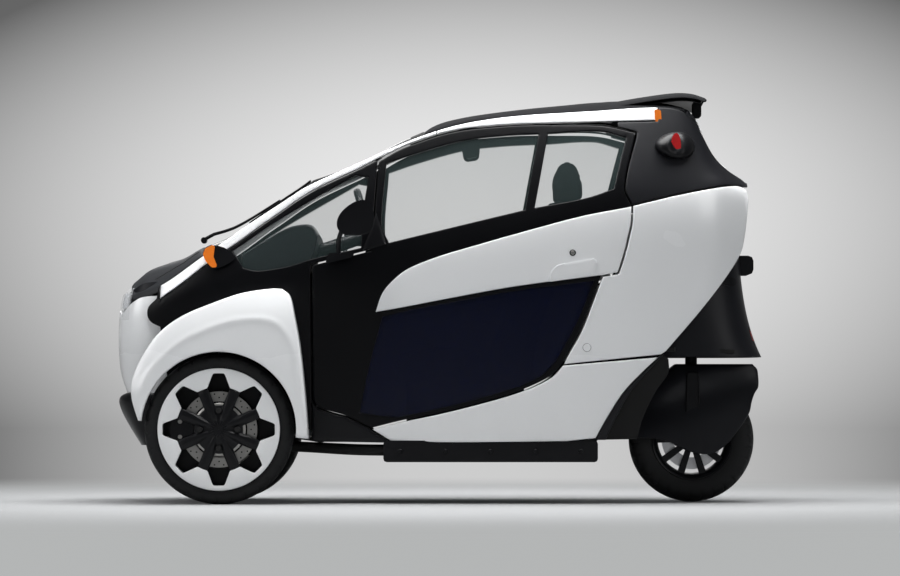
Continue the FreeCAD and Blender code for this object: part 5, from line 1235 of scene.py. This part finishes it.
# Front frame and suspension: a cast block with ribs, two pairs of thin arms, the uprights that carry the
# wheels, the stays of the fenders, and tubes back to the sill rails.
block = [box((-0.9187, -0.118, 0.1828), (-0.6691, 0.118, 0.3596), 0.012)]
block += [box((x, -0.1248, 0.190), (x + 0.010, 0.1248, 0.352), 0.003) for x in np.linspace(-0.905, -0.690, 6)]
place("front_frame_block", block, satin_black, ["front_frame"])
place("frame_tube_{}", [rod(curve([(-0.676, -0.095, 0.205), (-0.50, -0.150, 0.200), (-0.30, -0.250, 0.190),
    (-0.135, -0.286, 0.188)]), 0.017, 20), rod(curve([(-0.50, -0.150, 0.200), (-0.42, -0.06, 0.196),
    (-0.42, 0.0, 0.196)]), 0.012, 16)], black_and_painted_shade)
x, z = WHEEL[0], WHEEL[2]
arms = [rod([(x, -0.271, z + drop * 0.026), (x + lean * 0.104, -0.1248, z + (drop - 0.4) * 0.026)], 0.0087, 14)
        for drop in (-2, 3) for lean in (-1, 1)]
upright = rounded([(x - 0.026, 0.198), (x + 0.026, 0.198), (x + 0.026, 0.370), (x - 0.026, 0.370)], 0.012)
stay = rod(curve([(x, -0.2905, 0.357), (x, -0.2905, 0.45), (x, -0.2905, 0.545), (x, -0.300, 0.620),
    (x, -0.324, 0.7086)]), 0.0065, 12)
axle = rod([(x, -0.3837, z), (x, -0.284, z)], 0.014, 24)
place("front_suspension_{}_arms", arms + [stay, axle, prism(upright, -0.284, -0.258, 0.004)], satin_black,
    ["front_suspension_{}"])

# Rear fork: two legs and a crown that turn under the bay on a shaft, with the wheel's pin between them.
x, y, z = REAR
legs = [prism(rounded([(x - 0.026, 0.202), (x + 0.026, 0.202), (x + 0.020, 0.470), (x - 0.020, 0.470)], 0.012),
              side * 0.0730, side * 0.0868, 0.004) for side in (-1, 1)]
crown = prism(rounded([(x - 0.026, 0.4632), (x + 0.026, 0.4632), (x + 0.026, 0.4768), (x - 0.026, 0.4768)], 0.004),
              -0.0728, 0.0728, 0.001)
shaft = rod([(x, y, 0.470), (x, y, 0.655)], 0.0218, 32)
pin = rod([(x, -0.0868, z), (x, 0.0868, z)], 0.0138, 24)
place("rear_fork_arms", legs + [crown, shaft, pin], satin_black, ["rear_fork"], "rear_steer")


# Seats: foam pads in woven cloth, one behind the other, each with side bolsters, sewn channels and piping.
def cloth_finish():
    """Charcoal seat cloth: threads cross as a product of sines 1.6 mm apart, over a patchy, worn colour."""
    finish = Finish("seat", (0.020, 0.021, 0.023), 0.85, **{"Specular IOR Level": 0.2})
    x, y, z = [finish.axis(k) for k in range(3)]
    threads = (finish.node("ShaderNodeMath", {"operation": "SINE"}, {0: (x + z) * 3900}) *
        finish.node("ShaderNodeMath", {"operation": "SINE"}, {0: y * 3900}))
    worn = finish.noise(7, 4, 0.6)
    finish.set(**{"Base Color": finish.mix(worn * 0.6 + threads * 0.15, (0.014, 0.015, 0.017), (0.036, 0.037, 0.040)),
        "Roughness": 0.78 + 0.15 * worn})
    finish.bump(threads, 0.0004)
    return finish


seat_cloth = cloth_finish()
PADS = [
    ("front_seat_cushion", "front_seat", 0.185, 0, [
        (1.294, 0.905), (1.292, 0.960), (1.322, 1.008), (1.400, 1.028), (1.500, 1.026), (1.572, 1.016), (1.610, 0.995),
        (1.618, 0.945), (1.606, 0.900), (1.450, 0.893)]),
    ("front_seat_back", None, 0.185, 2, [
        (1.650, 0.905), (1.632, 0.990), (1.640, 1.075), (1.672, 1.150), (1.715, 1.285), (1.760, 1.420), (1.795, 1.528),
        (1.820, 1.562), (1.850, 1.572), (1.874, 1.556), (1.880, 1.520), (1.810, 1.263), (1.763, 1.125), (1.742, 0.980),
        (1.730, 0.895), (1.690, 0.885)]),
    ("front_headrest", None, 0.0925, 2, [
        (1.848, 1.606), (1.844, 1.650), (1.851, 1.700), (1.880, 1.730), (1.907, 1.702), (1.918, 1.650), (1.915, 1.606),
        (1.882, 1.598)]),
    ("rear_seat_cushion", "rear_seat", 0.185, 0, [
        (2.014, 0.968), (2.010, 1.060), (2.034, 1.116), (2.080, 1.140), (2.300, 1.146), (2.460, 1.132), (2.505, 1.100),
        (2.500, 1.075), (2.300, 0.968)]),
    ("rear_seat_back", None, 0.185, 2, [
        (2.550, 1.076), (2.530, 1.140), (2.590, 1.225), (2.684, 1.390), (2.762, 1.528), (2.804, 1.588), (2.845, 1.601),
        (2.880, 1.585), (2.890, 1.550), (2.776, 1.250), (2.698, 1.078)]),
]
pads = []
for name, node, half, axis, pairs in PADS:
    loop = line_of(pairs + pairs[:1], 0.010)[:-1]
    piece = place(name, [prism(widened(loop, -0.007), -half + 0.009, half - 0.009, 0.020)], seat_cloth,
        [node] if node else ())
    pads.append((piece, half, axis))


def baked(piece, *kinds):
    """The piece's mesh after modifiers of these kinds and settings, which are then taken off it."""
    for kind, settings in kinds:
        modifier = piece.modifiers.new(kind, kind)
        for key, value in settings.items():
            setattr(modifier, key, value)
    bpy.context.view_layer.update()
    graph = bpy.context.evaluated_depsgraph_get()
    return bpy.data.meshes.new_from_object(piece.evaluated_get(graph), depsgraph=graph)


def corners_of(mesh, kind="co"):
    values = np.empty(len(mesh.vertices) * 3)
    mesh.vertices.foreach_get(kind, values)
    return values.reshape(-1, 3)


for piece, half, axis in pads:
    mesh = baked(piece, ("REMESH", {"mode": "VOXEL", "voxel_size": 0.0065}), ("SMOOTH", {"iterations": 5}))
    piece.modifiers.clear()
    piece.data = mesh
for piece, half, axis in pads:
    cloth = piece.modifiers.new("pad", "CLOTH")
    cloth.settings.use_pressure = True
    cloth.settings.uniform_pressure_force = 4
    cloth.settings.effector_weights.gravity = 0
    cloth.point_cache.frame_end = 20
for step in range(1, 21):
    bpy.context.scene.frame_set(step)
for piece, half, axis in pads:
    rest = corners_of(piece.data)
    moved = corners_of(baked(piece)) - rest
    far = np.linalg.norm(moved, axis=1)[:, None]
    piece.modifiers.clear()
    piece.data.vertices.foreach_set("co", (rest + moved * np.minimum(1, 0.008 / np.maximum(far, 1e-9))).ravel())
bpy.context.scene.frame_set(1)
for piece, half, axis in pads:
    mesh = piece.data
    points, normals = corners_of(mesh), corners_of(mesh, "normal")
    off = np.abs(points[:, 1])
    bolster = 0.58 * half
    lengthwise = np.exp(-((off - bolster) / 0.007) ** 2)
    apart = (points[:, axis] / 0.075) % 1 - 0.5
    crosswise = np.exp(-(apart * 0.075 / 0.007) ** 2) * (off < bolster) * (half > 0.1)
    piping = np.exp(-((off - half + 0.018) / 0.006) ** 2)
    points += normals * (0.0022 * piping - 0.0045 * np.maximum(lengthwise, crosswise))[:, None]
    mesh.vertices.foreach_set("co", points.ravel())
    mesh.shade_smooth()
posts = [rod([(along(1.874), y, up(1.530)), (along(1.882), y, up(1.650))], 0.0055, 12) for y in (-0.030, 0.030)]
place("headrest_posts", posts, disc_metal)

# Seat base: a moulded box under the front seat, drawn in towards the floor, with a slide rail on each side.
base = [(along(1.330), up(0.465)), (along(1.720), up(0.465)), (along(1.716), up(0.868)), (along(1.334), up(0.878))]
slides = [box((along(1.34), side * 0.120 - 0.012, up(0.872)), (along(1.70), side * 0.120 + 0.012, up(0.888)),
    0.003) for side in (-1, 1)]
place("seat_pedestal", [prism(rounded(base, 0.030), -0.147, 0.147, 0.012)] + slides, satin_black, ["seat_base"])

# Dashboard: one soft moulding from wall to wall that rises to a hood over the dials, with a dial screen.
DASH = [
    [(0.228, 1.302), (0.228, 1.388)],
    [(0.228, 1.388), (0.420, 1.438), (0.714, 1.497), (0.900, 1.509), (0.985, 1.502), (1.016, 1.470)],
    [(1.016, 1.470), (0.998, 1.384), (0.900, 1.334), (0.800, 1.302)], [(0.800, 1.302), (0.228, 1.302)],
]
dash_loop = outline(DASH)
middle = dash_loop.mean(0)
rows = []
for t in np.linspace(-1, 1, 61):
    near_end = np.clip((abs(t) - 0.96) / 0.04, 0, 1)
    size = 0.970 + 0.030 * math.sqrt(1 - near_end ** 2)
    line = middle + (dash_loop - middle) * size
    wide = half_width(line[:, 0], np.full(len(line), float(up(1.32)))) - WALL - 0.002
    dip = 0.012 * abs(t) ** 3 * np.clip((line[:, 1] - up(1.40)) / 0.05, 0, 1)
    rows.append(np.c_[line[:, 0], t * wide, line[:, 1] - dip])
place("dashboard_moulding", [capped(np.array(rows))], trim, ["dashboard"], angle=40)
screen = rounded([(-0.105, -0.036), (0.105, -0.036), (0.105, 0.036), (-0.105, 0.036)], 0.012)
glow = Finish("dial_screen", (0.010, 0.012, 0.016), 0.12, 0, "dark_plastic", **{"Coat Weight": 0.5})
points, faces = prism(screen, -0.004, 0.004, 0.002)
place("dial_screen", [(np.c_[along(0.9985) + points[:, 1] + (points[:, 2]) * 0.22, points[:, 0],
    up(1.425) + points[:, 2]], faces)], glow)

# Steering column and hand wheel: a leather rim on three spokes, square to the column.
start, end = np.array((along(0.900), 0, up(1.400))), np.array((along(1.180), 0, up(1.470)))
axis = (end - start) / np.linalg.norm(end - start)
place("steering_column_tube", [rod([start, start + (end - start) * 0.45, start + (end - start) * 0.5,
    end - axis * 0.004], [0.025, 0.025, 0.0255, 0.0225], 28)], satin_black, ["steering_column"])
side, tilt = np.array((0, 1.0, 0)), np.cross(axis, (0, 1.0, 0))
centre = end + axis * 0.0133
a, b = circle_of(96)[:, None, None], circle_of(20)[None, :, None]
out = np.cos(a) * side + np.sin(a) * tilt
grip_thick = 0.0136 - 0.0006 * np.cos(a * 12) ** 8
rim_grid = centre + out * (0.165 + grip_thick * np.cos(b)) + axis * grip_thick * np.sin(b)
wheel_parts = [looped(rim_grid)]
down = tilt if tilt[2] < 0 else -tilt
for way in (side, -side, down):
    wheel_parts.append(rod([centre + way * 0.020, centre + way * 0.08 - axis * 0.004, centre + way * 0.158],
        [0.013, 0.009, 0.0085], 14))
hub = rod([centre - axis * 0.0125, centre + axis * 0.006, centre + axis * 0.0115, centre + axis * 0.0125],
    [0.034, 0.036, 0.032, 0.024], 40)
place("hand_wheel_rim", wheel_parts + [hub], satin_black, ["hand_wheel"], "hand_wheel", angle=50)

# Mirror inside the windscreen: a flat black plastic housing on a short stalk, screwed to the roof's front
# edge.
inner_mirror = rounded(pixel([(466.5, 157.6), (463.8, 143), (470.5, 140.6), (476.5, 143), (476.8, 156)], 0), 0.008)
stalk = rod(curve([(0.085, 0, 1.372), (0.095, 0, 1.345), (0.104, 0, 1.305)]), 0.006, 12)
place("inside_mirror", [prism(inner_mirror, -0.098, 0.098, 0.010), stalk], satin_black)
# The studio: a pale floor that fades into a pale backdrop, one broad soft light above the car, weaker
# ones at its sides, and a camera 13 m away that looks square at the left side from a low height.
camera_data = bpy.data.cameras.new("camera")
camera_data.sensor_width = 36
camera_data.lens = camera_data.sensor_width * CAMERA_AWAY / (PICTURE_WIDE * PIXEL)
camera_data.shift_y = (HORIZON - PICTURE_HIGH / 2) / PICTURE_WIDE
camera = bpy.data.objects.new("camera", camera_data)
camera.location = (CAMERA_X, -CAMERA_AWAY, CAMERA_Z)
camera.rotation_euler = (math.radians(90), 0, 0)
bpy.context.scene.collection.objects.link(camera)
bpy.context.scene.camera = camera


SPREAD = CAMERA_AWAY / PIXEL


def backdrop(finish, sideways, upward):
    """The backdrop's tone for a direction, given as its slopes sideways and upward: a painted pool of light, brightest
    above the middle, falling away as a sum of squares, and even again below the foot of the wall."""
    across = sideways * (SPREAD / PICTURE_WIDE) - 0.03
    across = across.sum("MAXIMUM", across.sum("MINIMUM", across, 0.53), -0.53)
    height = upward * (SPREAD / PICTURE_HIGH) + (1 - HORIZON / PICTURE_HIGH - 0.62)
    over, under = height.sum("MAXIMUM", height, 0.0), height.sum("MAXIMUM", height.sum("MINIMUM", height, 0.0), -0.36)
    fall = across * across * 1.40 + over * over * 2.74 + under * under * 1.73
    return finish.node("ShaderNodeMapRange", {}, {"Value": fall, "From Min": 0.0, "From Max": 0.70, "To Min": 0.83,
        "To Max": 0.13})


def shown(finish, behind):
    """1 for the rays that show the backdrop: those of the camera, those through glass, and mirrored ones
    that run towards the wall behind the car."""
    rays = [finish.node("ShaderNodeLightPath", {}, {}, f"Is {kind} Ray") for kind in
        ("Camera", "Transmission", "Glossy")]
    return rays[0] + rays[1] + rays[2] * finish.node("ShaderNodeMapRange", {}, {"Value": behind})


FLOOR_TONE = (0.455, 0.465, 0.465)
floor_finish = Finish("floor", (0.34, 0.345, 0.35), 0.8, **{"Specular IOR Level": 0.0, "Emission Strength": 1.0})
seen = shown(floor_finish, floor_finish.axis(1))
from_car = floor_finish.node("ShaderNodeVectorMath", {"operation": "LENGTH"}, {"Vector": floor_finish.place}, "Value")
fade = floor_finish.node("ShaderNodeMapRange", {"interpolation_type": "SMOOTHSTEP"},
    {"Value": from_car, "From Min": 1.3, "From Max": 3.4}) * seen
far = floor_finish.node("ShaderNodeMapRange", {"interpolation_type": "SMOOTHSTEP"},
    {"Value": from_car + floor_finish.axis(1), "From Min": 2.6, "From Max": 9.0})
distance = floor_finish.axis(1).sum("ABSOLUTE", floor_finish.axis(1)) + CAMERA_AWAY
slopes = (floor_finish.axis(0) - CAMERA_X) / distance, -CAMERA_Z / distance
# Beyond the lit floor near the car, the floor's tone carries the backdrop's painted fall of light.
tone = floor_finish.mix(far, FLOOR_TONE, backdrop(floor_finish, *slopes))
floor_finish.set(**{"Base Color": floor_finish.mix(fade, (0.34, 0.345, 0.35), (0, 0, 0)),
    "Emission Color": floor_finish.mix(fade, (0, 0, 0), tone)})
along_floor = np.linspace(-40, 40, 9)
grid = np.stack(np.meshgrid(along_floor, along_floor, indexing="ij"), -1).reshape(-1, 2)
floor_mesh = bpy.data.meshes.new("studio_floor")
floor_mesh.from_pydata(np.c_[grid, np.zeros(81)].tolist(), [], quads(9, 9).tolist())
floor_mesh.materials.append(floor_finish.material)
studio_floor = bpy.data.objects.new("studio_floor", floor_mesh)
bpy.context.scene.collection.objects.link(studio_floor)


def softbox(name, place, aim, size, power):
    """A rectangular area light at a place, turned to face the aim."""
    data = bpy.data.lights.new(name, "AREA")
    data.shape, data.size, data.size_y, data.energy = "RECTANGLE", size[0], size[1], power
    light = bpy.data.objects.new(name, data)
    light.location = place
    light.rotation_euler = (Vector(aim) - Vector(place)).to_track_quat("-Z", "Y").to_euler()
    bpy.context.scene.collection.objects.link(light)


softbox("above", (0.1, -0.3, 4.0), (0, 0, 0.4), (4.0, 2.6), 385)
softbox("front_left", (-4.8, -3.0, 2.6), (-0.3, 0, 0.6), (2.2, 2.8), 70)
softbox("behind_left", (4.4, -4.4, 2.4), (0.3, 0, 0.6), (2.2, 2.8), 46)
softbox("far_side", (0, 4.6, 2.8), (0, 0, 0.6), (4.0, 2.2), 60)


class Sky(Finish):
    """The world's own nodes, with the same helpers as a material's."""

    def __init__(self, world):
        self.material = world
        world.use_nodes = True
        self.tree = world.node_tree
        self.shader = self.tree.nodes["Background"]


world = bpy.data.worlds.new("studio")
sky = Sky(world)
toward = [sky.node("ShaderNodeSeparateXYZ", {}, {"Vector": sky.node("ShaderNodeTexCoord", {}, {}, "Generated")},
    k) for k in range(3)]
seen = shown(sky, toward[1] * 3.0)
# The world shows the backdrop's painted pool of light to the camera, through glass and in reflections that run towards
# the wall behind.
sky.set(Color=sky.mix(seen, (0.115, 0.12, 0.125), backdrop(sky, toward[0], toward[2])), Strength=1.0)
bpy.context.scene.world = world
bpy.context.scene.view_settings.view_transform = "Standard"
